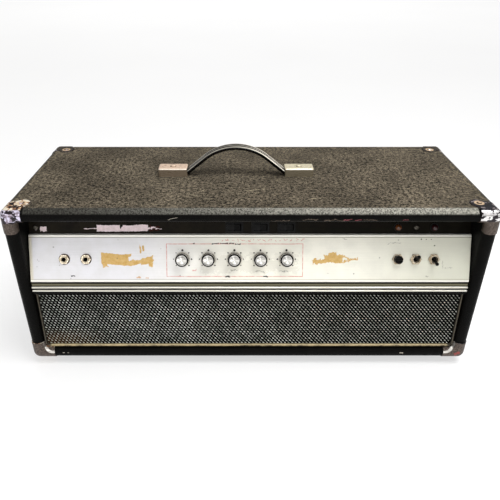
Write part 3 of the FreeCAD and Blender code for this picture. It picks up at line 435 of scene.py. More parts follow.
def make_pale_panel():
    n, place = finish_of("pale panel")
    flat = panel_flat(n, place)
    x, up, _ = n.parts(flat)
    # the left end is painted cooler and darker as painted shade, warming towards the middle
    cool_shade_to_warm = n.ramp(x, -190.0, 0.0)
    colour = n.mix(cool_shade_to_warm, shade(236, 235, 239), shade(253, 250, 236))
    colour = n.over(colour, n.ramp(x, 110.0, 290.0), shade(220, 220, 203))
    cloud = n.ramp(n.noise(flat, 34.0, 5.0, 0.6), 0.35, 0.7)
    colour = n.over(colour, cloud, shade(198, 196, 186), 0.22)
    # brushed length ways
    brush = n.noise(n.vector("MULTIPLY", flat, (0.01, 2.2, 1)), 1.0, 3.0)
    colour = n.over(colour, n.ramp(brush, 0.35, 0.75, 0.0, 0.12), shade(160, 158, 150))
    # handling dirt between and below the knobs
    haze = n.times(patch_of(n, flat, (-2, 26), (70, 12), 0, 3.5), 0.16)
    colour = n.over(colour, haze, shade(150, 143, 126))
    # yellowed left end, and painted shade along the groove under the raised top rim
    yellow = n.ramp(x, -309.0, -313.0)
    colour = n.over(colour, yellow, shade(214, 200, 150), 0.5)
    groove_shade = n.times(n.ramp(up, 64.2, 65.0), n.ramp(up, 66.4, 65.9))
    colour = n.over(colour, groove_shade, shade(112, 104, 84), 0.75)
    panel_middle = 34.7
    # the raised rims are painted brighter as a painted highlight
    rim_highlight_band = n.ramp(n.size_of(n.minus(up, panel_middle)), 31.0, 31.4)
    colour = n.over(colour, rim_highlight_band, shade(250, 248, 238), 0.9)
    foot_line = n.times(n.ramp(up, 5.0, 4.4), n.ramp(up, 3.2, 3.6))
    colour = n.over(colour, foot_line, shade(150, 138, 110), 0.35)
    residue = patches(n, flat, [
        ((-191, 33.6), (21.5, 8.2), -0.06, 0.45), ((-163, 29.4), (24, 3.2), 0.05, 0.8),
        ((-146, 32.0), (8.5, 5.2), 0.3, 0.8), ((-141, 25.5), (3.0, 3.4), 0.0, 0.8),
        ((-207, 26.0), (4.0, 4.0), 0.0, 0.9), ((-156, 46.0), (1.1, 6.0), -3.0, 0.5),
        ((-152.5, 49.0), (1.2, 4.0), 0, 0.5), ((100, 31.0), (11, 3.0), 0.12, 0.9),
        ((119, 34.2), (13, 5.0), 0.0, 1.1), ((118, 41.0), (6, 2.6), 0.1, 1.0),
        ((137, 35.4), (10, 1.4), -0.35, 1.0), ((143, 31.4), (11, 1.5), 0.2, 1.2)])
    peeled = patch_of(n, flat, (-162, 37.0), (11, 2.6), 0.35, 1.0)
    residue = n.times(residue, n.minus(1.0, peeled))
    dry = n.ramp(n.noise(flat, 5.0, 4.0, 0.7), 0.3, 0.7)
    colour = n.mix(residue, colour, n.mix(dry, shade(214, 172, 98), shade(228, 196, 132)))
    box = ruled_box(n, flat, -119.0, 75.5, 8.5, 55.6)
    strokes = [patch_of(n, flat, (-40 + 7.6 * k, 60.6 + 0.7 * math.sin(2.3 * k)),
                        (1.9 + 0.9 * math.sin(1.7 * k), 0.55), 0.5 * math.sin(3.1 * k), 1.0)
               for k in range(16)]
    strokes.append(patch_of(n, flat, (-78.5, 16.5), (3.0, 0.9), 0.3, 1.0))
    pencil = n.greater(box, n.times(most(n, strokes), 0.65))
    colour = n.over(colour, pencil, shade(204, 74, 56), 0.85)
    dashes = [patch_of(n, flat, centre, reach, 0, 0.5) for centre, reach in (
        ((-49, 55.8), (5, 0.8)), ((-37, 55.7), (6, 0.7)), ((-26, 55.8), (3, 0.8)), ((-17, 55.7), (4, 0.8)),
        ((-254, 9.3), (3.0, 0.8)), ((-32, 8.8), (3.0, 0.9)), ((22, 8.6), (3.2, 0.9)),
        ((-80, 56.0), (1.2, 0.7)))]
    dashes = most(n, dashes)
    colour = n.over(colour, dashes, shade(30, 26, 22), 0.92)
    # stains by the dials and a few stray marks
    stains = [patch_of(n, flat, centre, reach, slant, 0.9) for centre, reach, slant in (
        ((134, 62.0), (3.0, 0.4), -0.5), ((-304, 31.0), (0.8, 1.0), 0), ((-304, 22.0), (0.8, 0.8), 0),
        ((-23, 17.0), (5, 0.5), 0.1), ((14, 16.0), (7, 0.5), -0.1), ((48, 16.4), (6, 0.6), 0.1),
        ((284, 22.0), (6, 0.35), 0.05), ((276, 26.0), (0.35, 5), 0), ((206, 56.5), (9, 0.4), 0.02),
        ((-188, 62.0), (0.8, 0.7), 0), ((254, 8.5), (2.6, 0.5), 0), ((112, 13.0), (1.2, 0.6), 0))]
    colour = n.over(colour, most(n, stains), shade(92, 84, 72), 0.5)
    rust = patches(n, flat, [
        ((-159, 7.2), (3.0, 0.9), 0, 0.7), ((-147, 7.0), (2.4, 0.9), 0, 0.7)])
    colour = n.over(colour, rust, shade(206, 150, 70), 0.75)
    dots = n.mask(specks, Place=flat, Pitch=13.0, Size=0.07, Share=0.5)
    colour = n.over(colour, dots, shade(96, 90, 80), 0.5)
    scratch = n.mask(fine_scratches, Place=place, Density=0.4)
    colour = n.over(colour, scratch, shade(150, 146, 138), 0.25)
    height = n.plus(n.times(residue, 0.8), n.times(brush, 0.1))
    matt = n.blend(residue, n.blend(rim_highlight_band, 0.42, 0.3), 0.9)
    return n.surface(colour, matt, n.bump(height, 0.00012, 0.6), n.blend(rim_highlight_band, 0.12, 0.3))


def ruled_box(n, flat, x0, x1, low, high):
    """Hand-ruled pencil rectangle, fading where it is rubbed."""
    shaken = n.vector("ADD", flat, n.vector("SCALE", n.wander(flat, 30.0), 1.2))
    x, up, _ = n.parts(shaken)
    edge = 0.6
    lines = []
    for value, at, other, start, end in ((x, x0, up, low, high), (x, x1, up, low, high),
                                         (up, low, x, x0, x1), (up, high, x, x0, x1)):
        off = n.size_of(n.minus(value, at))
        thin = n.ramp(off, 0.75, 0.2)
        inside = n.times(n.ramp(other, start - edge, start), n.ramp(other, end + edge, end))
        lines.append(n.times(thin, inside))
    rubbed = n.ramp(n.noise(flat, 7.0, 4.0, 0.7), 0.3, 0.62, 0.3, 1.0)
    return n.times(most(n, lines), rubbed)


def make_dark_strip():
    n, place = finish_of("dark strip", Specular_IOR_Level=0.03)
    flat = panel_flat(n, place)
    cloud = n.ramp(n.noise(flat, 22.0, 5.0, 0.6), 0.3, 0.7)
    far = n.ramp(n.parts(place)[0], -250.0, 250.0)
    deep = n.mix(far, shade(25, 22, 18), shade(14, 12, 8))
    colour = n.mix(cloud, deep, n.mix(far, shade(38, 34, 27), shade(23, 20, 14)))
    bare = patches(n, flat, [
        ((-294, 77.0), (4.2, 3.6), 0, 0.6), ((-304, 76.5), (1.2, 1.6), 0, 0.6),
        ((-197, 77.6), (21, 4.6), 0.0, 0.3), ((-161, 77.8), (16, 4.4), 0.02, 0.4),
        ((-224, 77.2), (11, 0.5), -0.02, 0.5), ((-143, 78.8), (9, 1.2), 0.1, 1.1),
        ((-130, 77.0), (5, 0.4), 0.0, 0.5)])
    notch = patch_of(n, flat, (-183, 81.4), (2.2, 2.2), 0.9, 0.5)
    bare = n.times(bare, n.minus(1.0, notch))
    stain = n.ramp(n.noise(flat, 6.0, 4.0, 0.7), 0.35, 0.75)
    metal = n.mix(stain, shade(250, 230, 234), shade(226, 208, 208))
    edge = patch_of(n, flat, (-136, 77.8), (8, 3.6), 0, 1.0)
    colour = n.over(colour, edge, shade(58, 26, 20), 0.8)
    matt = n.blend(bare, n.blend(cloud, 0.3, 0.42), 0.5)
    relief = n.bump(n.minus(n.times(cloud, 0.2), bare), 0.00015, 0.7)
    return n.surface(n.mix(bare, colour, metal), matt, relief, n.times(bare, 0.1))


def make_chrome():
    """Corner plating: bright with dark painted reflection blots on the upper front, painted dull brown-grey
    reflection lower down, tarnish and pits throughout.
    """
    n, place = finish_of("old chrome")
    x, y, z = n.parts(place)
    aside = n.size_of(x)
    bloom = n.use(tarnish, Place=place, Amount=0.42)
    scratch = n.mask(fine_scratches, Place=place, Density=0.9)
    # flat ears on top carry painted reflection: tan and cream on the left, slate on the right, darker
    # towards the back, with a painted highlight round the screw and a dark rim round the lobe, partly dirt
    # and partly painted shadow
    ear = n.ramp(n.size_of(n.upward()), 0.8, 0.93)
    patchy = n.noise(n.vector("ADD", place, (40.0, 0, 0)), 9.0, 3.0, 0.6)
    tan = n.mix(n.ramp(patchy, 0.45, 0.5), shade(46, 34, 28), shade(176, 132, 98))
    tan = n.over(tan, n.ramp(patchy, 0.51, 0.55), shade(236, 226, 204))
    slate = n.mix(n.ramp(patchy, 0.54, 0.6), shade(30, 30, 36), shade(120, 112, 112))
    ear_reflection = n.mix(n.ramp(x, -5.0, 5.0), tan, slate)
    rear = n.mix(bloom["Bloom"], shade(66, 60, 50), shade(30, 28, 24))
    ear_reflection = n.mix(n.ramp(y, -20.0, 20.0), ear_reflection, rear)
    screw_x, screw_y, lobe_radius = 310.5, 107.0, 11.6
    off_x = n.minus(aside, screw_x)
    off_y = n.minus(n.size_of(y), screw_y)
    from_screw = n.vector("LENGTH", n.joined(off_x, off_y))
    lobe_dirt_and_shadow = n.ramp(n.size_of(n.minus(from_screw, lobe_radius)), 1.6, 0.8)
    screw_highlight = n.ramp(from_screw, 7.5, 5.5)
    ear_reflection = n.over(ear_reflection, screw_highlight, shade(226, 196, 160), 0.8)
    ear_reflection = n.over(ear_reflection, lobe_dirt_and_shadow, shade(24, 20, 18), 0.85)
    # upright faces: plating tinted bluish and greyer on the left and darkly blotched, all painted reflection
    reflection_blot = n.noise(n.vector("MULTIPLY", place, (1.0, 1.0, 1.5)), 9.0, 2.0, 0.5)
    face_reflection_tint = n.mix(n.ramp(x, -200.0, 200.0), shade(226, 220, 240), shade(244, 242, 240))
    greyed_reflection = n.times(n.ramp(n.noise(place, 5.0, 2.0), 0.42, 0.6), n.ramp(x, 200.0, -200.0, 0.3, 1.0))
    face_reflection_tint = n.over(face_reflection_tint, greyed_reflection, shade(150, 138, 150))
    face = n.mix(n.ramp(reflection_blot, 0.5, 0.55), face_reflection_tint, shade(40, 33, 38))
    # the bottom corners are painted light, kept only along their inner lip as a painted highlight crescent
    face = n.over(face, n.ramp(z, 120.0, 60.0), shade(240, 236, 228))
    # lower halves of the faces painted dull brown-grey speckle as painted reflection
    speckle = n.ramp(n.noise(place, 2.2, 5.0, 0.85), 0.4, 0.6)
    low = n.mix(speckle, shade(50, 41, 36), shade(106, 93, 84))
    wavy = n.plus(n.scaled(x, -0.005, z), n.times(reflection_blot, 8.0))
    low_top = n.times(n.ramp(wavy, 254.6, 252.8), n.ramp(z, 200.0, 210.0))
    bottom = n.ramp(z, 120.0, 60.0)
    lip_x, lip_z, lip_radius = 303.0, 37.0, 12.5
    from_lip = n.vector("LENGTH", n.joined(n.minus(aside, lip_x), n.minus(z, lip_z)))
    lip_highlight = n.ramp(n.size_of(n.minus(from_lip, lip_radius)), 2.4, 1.4)
    bottom = n.times(bottom, n.minus(1.0, n.times(lip_highlight, 0.9)))
    dull = n.greater(low_top, bottom)
    face = n.mix(dull, face, low)
    # faces turned sideways painted dark in tarnish colours: painted shade
    facing_side = n.vector("DOT_PRODUCT", n.add("ShaderNodeNewGeometry").outputs["Normal"], (1.0, 0, 0))
    flank = n.ramp(n.size_of(facing_side), 0.45, 0.8)
    face = n.over(face, flank, n.mix(bloom["Bloom"], shade(64, 54, 46), shade(22, 18, 16)), 0.7)
    colour = n.mix(ear, face, ear_reflection)
    colour = n.over(colour, bloom["Pits"], shade(34, 28, 26), 0.8)
    red = patch_of(n, front_flat(n, place), (322, 22), (3.5, 3.0), 0.6, 0.9)
    colour = n.over(colour, red, shade(176, 62, 58), 0.55)
    # metal is turned down on faces turned upward, the ears, the painted dull reflection, the dark painted
    # reflection blots and the bottoms, so the painted colour shows there
    rounding = n.times(n.ramp(n.upward(), 0.1, 0.5), 0.7)
    worn = n.greater(n.times(dull, 0.55), n.greater(rounding, n.times(ear, 0.75)))
    dark_reflection_blot = n.times(n.ramp(reflection_blot, 0.5, 0.55), 0.5)
    worn = n.greater(worn, n.greater(dark_reflection_blot, n.ramp(z, 120.0, 60.0, 0.0, 0.6)))
    matt = n.scaled(dull, 0.34, 0.12)
    height = n.plus(n.noise(place, 12.0, 2.0), n.times(bloom["Pits"], -0.06))
    relief = n.bump(height, 0.0012, 0.8)
    metal = n.minus(1.0, n.greater(worn, bloom["Pits"]))
    return n.surface(colour, n.plus(matt, n.times(scratch, 0.15)), relief, metal)


def make_cap_chrome():
    """Handle cap plating: thin, tan-grey and rubbed, with painted shade on the front face and a painted
    highlight along the top front edge.
    """
    n, place = finish_of("cap plating")
    bloom = n.use(tarnish, Place=place, Amount=0.45)
    wipe = n.noise(n.vector("MULTIPLY", place, (0.12, 1.3, 1.3)), 1.0, 4.0)
    right = n.ramp(n.parts(place)[0], -20.0, 20.0)
    worn_tone = n.mix(right, shade(160, 124, 100), shade(168, 156, 126))
    bright = n.mix(right, shade(222, 196, 174), shade(214, 205, 178))
    colour = n.mix(bloom["Bloom"], bright, worn_tone)
    colour = n.over(colour, n.ramp(wipe, 0.45, 0.75, 0.0, 0.4), shade(128, 110, 92))
    # front face painted darker: painted shade
    front_face_shade = n.ramp(n.upward(), 0.5, 0.2)
    colour = n.over(colour, front_face_shade, shade(104, 94, 76), 0.85)
    # painted highlight along the top front edge
    from_rim = n.minus(n.size_of(n.parts(place)[1]), 11.0)
    lit_rim = n.times(n.ramp(n.upward(), 0.2, 0.5), n.ramp(from_rim, -1.2, 0.0))
    colour = n.over(colour, lit_rim, shade(250, 242, 226), 0.9)
    colour = n.over(colour, bloom["Pits"], shade(52, 42, 36), 0.7)
    matt = n.ramp(wipe, 0.3, 0.7, 0.24, 0.42)
    relief = n.bump(n.noise(place, 10.0, 3.0), 0.0005, 0.5)
    return n.surface(colour, matt, relief, n.minus(0.35, n.times(bloom["Pits"], 0.3)))


def make_plain_metal(name, light, dark, smooth, rough, brushed=(1.0, 1.0, 1.0), marks=0.3, stained=0.3):
    """Metal with drawn or cast grain, scratches and light staining."""
    n, place = finish_of(name)
    grain = n.noise(n.vector("MULTIPLY", place, brushed), 1.6, 3.0)
    bloom = n.use(tarnish, Place=place, Amount=stained)
    scratch = n.mask(fine_scratches, Place=place, Density=marks)
    colour = n.mix(n.ramp(grain, 0.3, 0.7), light, dark)
    colour = n.over(colour, bloom["Bloom"], shade(120, 104, 84), 0.35)
    colour = n.over(colour, bloom["Pits"], shade(44, 38, 34), 0.6)
    matt = n.ramp(grain, 0.25, 0.75, smooth, rough)
    relief = n.bump(grain, 0.00008, 0.5)
    metal = n.minus(1.0, n.times(bloom["Pits"], 0.6))
    return n.surface(colour, n.scaled(scratch, 0.15, matt), relief, metal)


def make_plain_solid(name, light, dark, smooth, rough, size=6.0, grain=0.5, height=0.0001, dusty=0.25):
    """Moulded, painted or sawn material with cloudy colour, fine grain and a little dust."""
    n, place = finish_of(name, Specular_IOR_Level=0.1)
    cloud = n.ramp(n.noise(place, size, 4.0, 0.6), 0.3, 0.7)
    dust = n.use(settled_dust, Place=place, Amount=dusty)
    colour = n.mix(cloud, dark, light)
    matt = n.blend(cloud, smooth, rough)
    relief = n.bump(n.noise(place, grain, 3.0), height, 0.6)
    colour = n.over(colour, dust["Film"], shade(132, 122, 104))
    return n.surface(colour, n.scaled(dust["Film"], 0.3, matt), relief)


def make_plywood():
    n, place = finish_of("birch plywood")
    _, y, _ = n.parts(place)
    ring = n.plus(n.times(n.noise(n.vector("MULTIPLY", place, (0.1, 1, 1)), 30.0), 30.0), y)
    figure = n.ramp(n.math("SINE", n.times(ring, 0.9)), -1.0, 1.0)
    pores = n.ramp(n.noise(n.vector("MULTIPLY", place, (0.06, 1.6, 1.6)), 1.0, 3.0), 0.55, 0.75)
    colour = n.mix(figure, shade(196, 160, 112), shade(168, 128, 82))
    matt = n.blend(figure, 0.6, 0.72)
    relief = n.bump(n.plus(pores, figure), 0.0001, 0.5)
    return n.surface(n.mix(n.times(pores, 0.5), colour, shade(110, 78, 48)), matt, relief)


def make_strap_plastic():
    """Glossy black moulding, with a painted highlight along its raised ribs and back edge, patchy and
    stronger towards the right.
    """
    n, place = finish_of("strap plastic", Specular_IOR_Level=0.15)
    x, y, _ = n.parts(place)
    # painted highlight on the raised ribs and back edge, stronger towards the right and broken into patches
    near_edge = n.size_of(n.minus(n.size_of(y), strap_bead))
    rib_highlight = n.greater(n.ramp(near_edge, 2.1, 1.4), n.times(n.ramp(n.size_of(y), 1.6, 1.1), 0.6))
    rib_highlight = n.times(rib_highlight, n.ramp(n.upward(), 0.45, 0.75))
    rubbed = n.ramp(n.noise(n.vector("MULTIPLY", place, (0.2, 1, 0.2)), 5.0, 4.0, 0.6), 0.3, 0.7, 0.6, 1.0)
    grip = n.ramp(x, -45.0, 45.0, 0.35, 1.0)
    outer = n.ramp(y, 5.0, 6.4)
    rib_highlight = n.greater(rib_highlight, n.times(outer, 0.8))
    colour = n.mix(n.ramp(n.noise(place, 8.0), 0.3, 0.7), shade(6, 6, 5), shade(12, 11, 10))
    colour = n.over(colour, n.times(rib_highlight, n.times(grip, rubbed)), shade(250, 243, 226))
    return n.surface(colour, n.blend(rib_highlight, 0.2, 0.4), n.bump(n.noise(place, 1.1, 3.0), 0.00005, 0.5))


def make_grille_cloth():
    """Backing of the grille cloth: black threads in a close plain weave."""
    n, place = finish_of("grille cloth", Specular_IOR_Level=0.04)
    x, _, z = n.parts(place)
    warp_pitch, weft_pitch = 1.85, 1.33
    warp = n.math("SINE", n.times(x, full_turn / warp_pitch))
    weft = n.math("SINE", n.times(z, full_turn / weft_pitch))
    weave = n.ramp(n.times(warp, weft), -1.0, 1.0)
    rust = n.times(n.ramp(x, -200.0, -300.0), n.ramp(z, 70.0, 40.0))
    colour = n.mix(weave, shade(2, 2, 2), shade(9, 10, 9))
    colour = n.over(colour, rust, shade(84, 56, 34), 0.4)
    return n.surface(colour, n.blend(weave, 0.75, 0.5), n.bump(weave, 0.0003, 0.8))


def make_weave_thread():
    """Glossy grey-green float threads, each its own shade."""
    n, place = finish_of("weave thread")
    own = n.add("ShaderNodeAttribute", None, attribute_name="thread_shade").outputs["Fac"]
    x, _, z = n.parts(place)
    broad = n.ramp(n.noise(place, 60.0, 4.0), 0.3, 0.7, 0.75, 1.1)
    colour = n.mix(own, shade(160, 168, 156), shade(250, 254, 246))
    rust = n.times(n.ramp(x, -190.0, -300.0), n.ramp(z, 75.0, 40.0))
    grubby = n.greater(n.times(rust, 0.45), n.times(n.ramp(x, -60.0, 80.0), 0.16))
    colour = n.over(colour, grubby, shade(132, 112, 72))
    twist = n.noise(n.vector("MULTIPLY", place, (3.0, 1.0, 3.0)), 1.0, 2.0)
    matt = n.blend(own, 0.4, 0.24)
    relief = n.bump(twist, 0.00005, 0.5)
    return n.surface(n.mix(n.minus(1.1, broad), colour, shade(30, 32, 30)), matt, relief)


def make_cream_piping():
    n, place = finish_of("aged cream piping", Specular_IOR_Level=0.2)
    x, _, z = n.parts(place)
    grime = n.ramp(n.noise(n.vector("MULTIPLY", place, (0.35, 1, 0.35)), 4.0, 5.0, 0.7), 0.36, 0.68)
    colour = n.mix(grime, shade(168, 150, 112), shade(58, 50, 38))
    # top-facing side painted lighter: painted highlight
    crown = n.ramp(n.upward(), 0.2, 0.7)
    colour = n.over(colour, crown, shade(214, 198, 158), 0.45)
    aside = n.size_of(x)
    # the uprights beside the grille are painted near-black as painted shade, with a thin painted highlight
    # line along each
    upright_shade = n.times(n.ramp(aside, 302.0, 307.0), n.ramp(z, 30.0, 38.0))
    ridge_highlight = n.ramp(n.size_of(n.minus(aside, 311.6)), 0.5, 0.2)
    colour = n.mix(n.times(upright_shade, 0.95), colour, n.mix(ridge_highlight, shade(12, 11, 10), shade(96, 89, 75)))
    spots = n.mask(specks, Place=place, Pitch=3.0, Size=0.12, Share=0.3)
    colour = n.over(colour, spots, shade(62, 50, 36), 0.5)
    return n.surface(colour, n.blend(grime, 0.38, 0.6), n.bump(grime, 0.0002, 0.6))


def make_trim_aluminium():
    """Two bright beads on a grooved extrusion: the hollows are painted near-black as painted shade, the
    shelf between the beads grey.
    """
    n, place = finish_of("trim aluminium", Specular_IOR_Level=0.1)
    _, y, z = n.parts(place)
    proud = n.ramp(y, -125.9, -127.2)
    shelf = n.times(n.ramp(z, 143.4, 143.9), n.ramp(z, 147.6, 147.0))
    drawn = n.noise(n.vector("MULTIPLY", place, (0.012, 1.4, 1.4)), 1.0, 4.0)
    bright = n.mix(n.ramp(drawn, 0.35, 0.75), shade(244, 242, 232), shade(196, 192, 176))
    # hollows painted near-black: painted shade
    hollow = n.mix(shelf, shade(8, 7, 6), shade(118, 114, 94))
    matt = n.blend(proud, 0.55, 0.38)
    relief = n.bump(drawn, 0.000004, 0.3)
    metal = n.greater(n.times(proud, 0.7), n.times(shelf, 0.6))
    return n.surface(n.mix(proud, hollow, bright), matt, relief, metal)


def make_spun_face():
    """Turned metal cap: fine rings about the knob's own axis and darker sectors painted as reflection, read
    from the piece's UV map.
    """
    n, _ = finish_of("spun knob face", Anisotropic=0.85)
    uv = n.add("ShaderNodeUVMap", None, uv_map="turning").outputs[0]
    around, radius, _ = n.parts(uv)
    ring = n.ramp(n.math("SINE", n.times(radius, full_turn / 0.9)), -1.0, 1.0)
    colour = n.mix(ring, shade(232, 230, 224), shade(246, 244, 240))
    # darker sectors round the cap, painted as reflection
    turned_round = n.times(around, full_turn / uv_turn)
    compass = n.joined(n.math("COSINE", turned_round), n.math("SINE", turned_round))
    sector_reflection = n.ramp(n.noise(n.vector("ADD", compass, (3.0, 1.0, 0)), 0.7, 1.0), 0.4, 0.6)
    sector_reflection = n.times(sector_reflection, n.ramp(radius, 7.0, 6.2))
    colour = n.over(colour, sector_reflection, shade(150, 148, 142), 0.8)
    turning = n.add("ShaderNodeTangent", None, direction_type="UV_MAP", uv_map="turning").outputs[0]
    n.feed(n.shader["Tangent"], turning)
    return n.surface(colour, 0.28, n.bump(ring, 0.000002, 0.5), n.ramp(ring, 0.2, 0.8, 1.0, 0.94))


def make_knob_side():
    n, place = finish_of("knob side")
    grime = n.ramp(n.noise(place, 2.4, 4.0, 0.6), 0.3, 0.7)
    matt = n.blend(grime, 0.3, 0.48)
    relief = n.bump(n.noise(place, 0.8, 3.0), 0.00006, 0.5)
    metal = n.blend(grime, 0.2, 0.1)
    return n.surface(n.mix(grime, shade(236, 234, 226), shade(190, 182, 166)), matt, relief, metal)


def make_lens(name, light, dark, glow):
    n, place = finish_of(name, Coat_Weight=0.2, Emission_Strength=glow)
    facet = n.cells(place, 1.7).outputs["Distance"]
    swirl = n.ramp(n.noise(place, 3.0, 3.0), 0.3, 0.7)
    colour = n.mix(swirl, light, dark)
    n.feed(n.shader["Emission Color"], colour)
    return n.surface(colour, n.blend(swirl, 0.18, 0.32), n.bump(facet, 0.0004, 0.6))


def make_valve_glass():
    n, place = finish_of("valve glass", Transmission_Weight=0.85, IOR=1.46)
    smoky = n.ramp(n.noise(place, 12.0, 3.0), 0.35, 0.7)
    colour = n.mix(smoky, shade(210, 214, 212), shade(120, 116, 108))
    return n.surface(colour, n.blend(smoky, 0.05, 0.16), n.bump(n.noise(place, 16.0, 2.0), 0.0003, 0.4))


def make_jack_barrel():
    """Bright threaded nose, with the hole inside painted near-black as painted shade."""
    n, place = finish_of("jack barrel")
    depth = n.minus(n.vector("DOT_PRODUCT", place, panel_out), panel_face / MM)
    throat_shade = n.times(n.ramp(depth, 4.25, 4.0), n.ramp(n.parts(place)[1], 90.0, 80.0))
    grime = n.ramp(n.noise(place, 1.6, 4.0), 0.35, 0.65)
    metal = n.mix(grime, shade(190, 180, 160), shade(120, 104, 80))
    matt = n.blend(throat_shade, 0.3, 0.9)
    relief = n.bump(grime, 0.00005, 0.5)
    return n.surface(n.mix(throat_shade, metal, shade(7, 6, 6)), matt, relief, n.minus(1.0, throat_shade))


def make_nut_plate():
    """Worn bright nuts on brown, dirty washers."""
    n, place = finish_of("worn nut plate")
    depth = n.minus(n.vector("DOT_PRODUCT", place, panel_out), panel_face / MM)
    washer = n.times(n.ramp(depth, 1.15, 0.9), n.ramp(n.parts(place)[1], 90.0, 80.0))
    grime = n.ramp(n.noise(place, 2.0, 4.0, 0.7), 0.38, 0.62)
    tone = n.mix(grime, shade(244, 236, 216), shade(170, 150, 118))
    tone = n.over(tone, n.ramp(n.parts(place)[0], 190.0, 200.0), shade(112, 88, 58), 0.25)
    matt = n.blend(grime, 0.2, 0.42)
    relief = n.bump(grime, 0.00006, 0.5)
    metal = n.times(n.minus(1.0, washer), n.blend(grime, 0.85, 0.6))
    return n.surface(n.mix(washer, tone, shade(60, 42, 30)), matt, relief, metal)


def make_dial_ink():
    n, place = finish_of("dial ink", Specular_IOR_Level=0.2)
    worn = n.ramp(n.noise(place, 1.1, 3.0), 0.4, 0.62)
    return n.surface(n.mix(worn, shade(14, 12, 10), shade(54, 50, 44)), n.blend(worn, 0.5, 0.7))


coal, soot = shade(34, 33, 32), shade(20, 19, 18)
finishes = {
    "black_vinyl": make_black_vinyl(),
    "plywood": make_plywood(),
    "black_rubber": make_plain_solid("black rubber", coal, soot, 0.6, 0.8, dusty=0.5),
    "zinc": make_plain_metal("zinc plate", shade(176, 174, 164), shade(146, 140, 124), 0.28, 0.42),
    "chrome": make_chrome(),
    "strap_plastic": make_strap_plastic(),
    "pale_panel": make_pale_panel(),
    "dark_strip": make_dark_strip(),
    "chassis_steel": make_plain_metal("chassis steel", shade(158, 158, 154), shade(132, 130, 124),
                                      0.34, 0.5, (1, 1, 1), 0.5, 0.35),
    "guard_steel": make_plain_solid("guard paint", shade(30, 29, 28), shade(20, 19, 18), 0.4, 0.55,
                                    14.0, 0.7, 0.0002, 0.35),
    "trim_aluminium": make_trim_aluminium(),
    "grille_cloth": make_grille_cloth(),
    "cream_piping": make_cream_piping(),
    "knob_metal": make_knob_side(),
    "can_aluminium": make_plain_metal("can aluminium", shade(196, 196, 192), shade(168, 166, 160),
                                      0.26, 0.4),
    "black_plastic": make_plain_solid("black plastic", shade(11, 10, 9), shade(6, 6, 5), 0.3, 0.45,
                                      5.0, 0.6, 0.00005, 0.1),
    "amber_lens": make_lens("amber lens", shade(96, 52, 20), shade(56, 28, 10), 0.02),
    "red_lens": make_lens("red lens", shade(52, 11, 13), shade(24, 5, 7), 0.015),
    "brown_phenolic": make_plain_solid("brown phenolic", shade(94, 58, 34), shade(70, 40, 22), 0.3, 0.45),
    "board_phenolic": make_plain_solid("board phenolic", shade(150, 112, 58), shade(124, 88, 42), 0.4, 0.55),
    "valve_glass": make_valve_glass(),
    "transformer_black": make_plain_solid("transformer lacquer", coal, soot, 0.35, 0.5,
                                          10.0, 0.8, 0.0002, 0.4),
}
cap_plating = make_cap_chrome()
spun_face = make_spun_face()
weave_thread = make_weave_thread()
dial_ink = make_dial_ink()
nut_metal = make_nut_plate()
screw_metal = make_plain_metal("dull screw", shade(104, 100, 92), shade(60, 57, 51), 0.3, 0.5)
own_finish = {"handle_caps": cap_plating, "handle_bolts": cap_plating, "pan_screws": screw_metal,
              "panel_nuts": nut_metal, "toggle_bodies": nut_metal, "input_jacks": make_jack_barrel(),
              "lamp_bezels": finishes["black_plastic"]}


def finish_cad_nodes():
    """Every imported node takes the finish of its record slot, or its own where it differs."""
    for name, node in frame["nodes"].items():
        for slot in node.material_slots:
            slot.material = own_finish.get(name) or finishes[slot.material.name.split(".")[0]]


# ------------------------------------------------------------------ Geometry Nodes helpers
def generator(name, inputs):
    """Geometry node tree with named inputs, each given as its value or its kind of data block:
    its tree, its builder, its inputs and its output node."""
    tree = bpy.data.node_groups.new(name, "GeometryNodeTree")
    tree.interface.new_socket("Geometry", in_out="INPUT", socket_type="NodeSocketGeometry")
    for label, value in inputs.items():
        kind = value if isinstance(value, str) else type(value).__name__.title()
        socket = tree.interface.new_socket(label, in_out="INPUT", socket_type="NodeSocket" + kind)
        if kind != value:
            socket.default_value = value
    tree.interface.new_socket("Geometry", in_out="OUTPUT", socket_type="NodeSocketGeometry")
    nodes = Nodes(tree)
    return tree, nodes, nodes.add("NodeGroupInput").outputs, nodes.add("NodeGroupOutput").inputs


def grown(name, tree, values):
    """Runs a tree once and keeps its result as a plain mesh object."""
    maker = bpy.data.objects.new(name + "_maker", bpy.data.meshes.new(name + "_start"))
    scene.collection.objects.link(maker)
    modifier = maker.modifiers.new("make", "NODES")
    modifier.node_group = tree
    for item in tree.interface.items_tree:
        if item.item_type == "SOCKET" and item.in_out == "INPUT" and item.name in values:
            modifier[item.identifier] = values[item.name]
    graph = bpy.context.evaluated_depsgraph_get()
    mesh = bpy.data.meshes.new_from_object(maker.evaluated_get(graph), depsgraph=graph)
    bpy.data.objects.remove(maker)
    return kept(name, mesh)


def kept(name, mesh):
    mesh.name = name
    piece = bpy.data.objects.new(name, mesh)
    scene.collection.objects.link(piece)
    return piece


def settle(n, geometry, material, out):
    """The end of every tree: real geometry, smooth faces, its material."""
    real = n.geo("RealizeInstances", {0: geometry})
    smooth = n.geo("SetShadeSmooth", {0: real})
    painted = n.geo("SetMaterial", {0: smooth, 2: material})
    n.feed(out[0], painted)


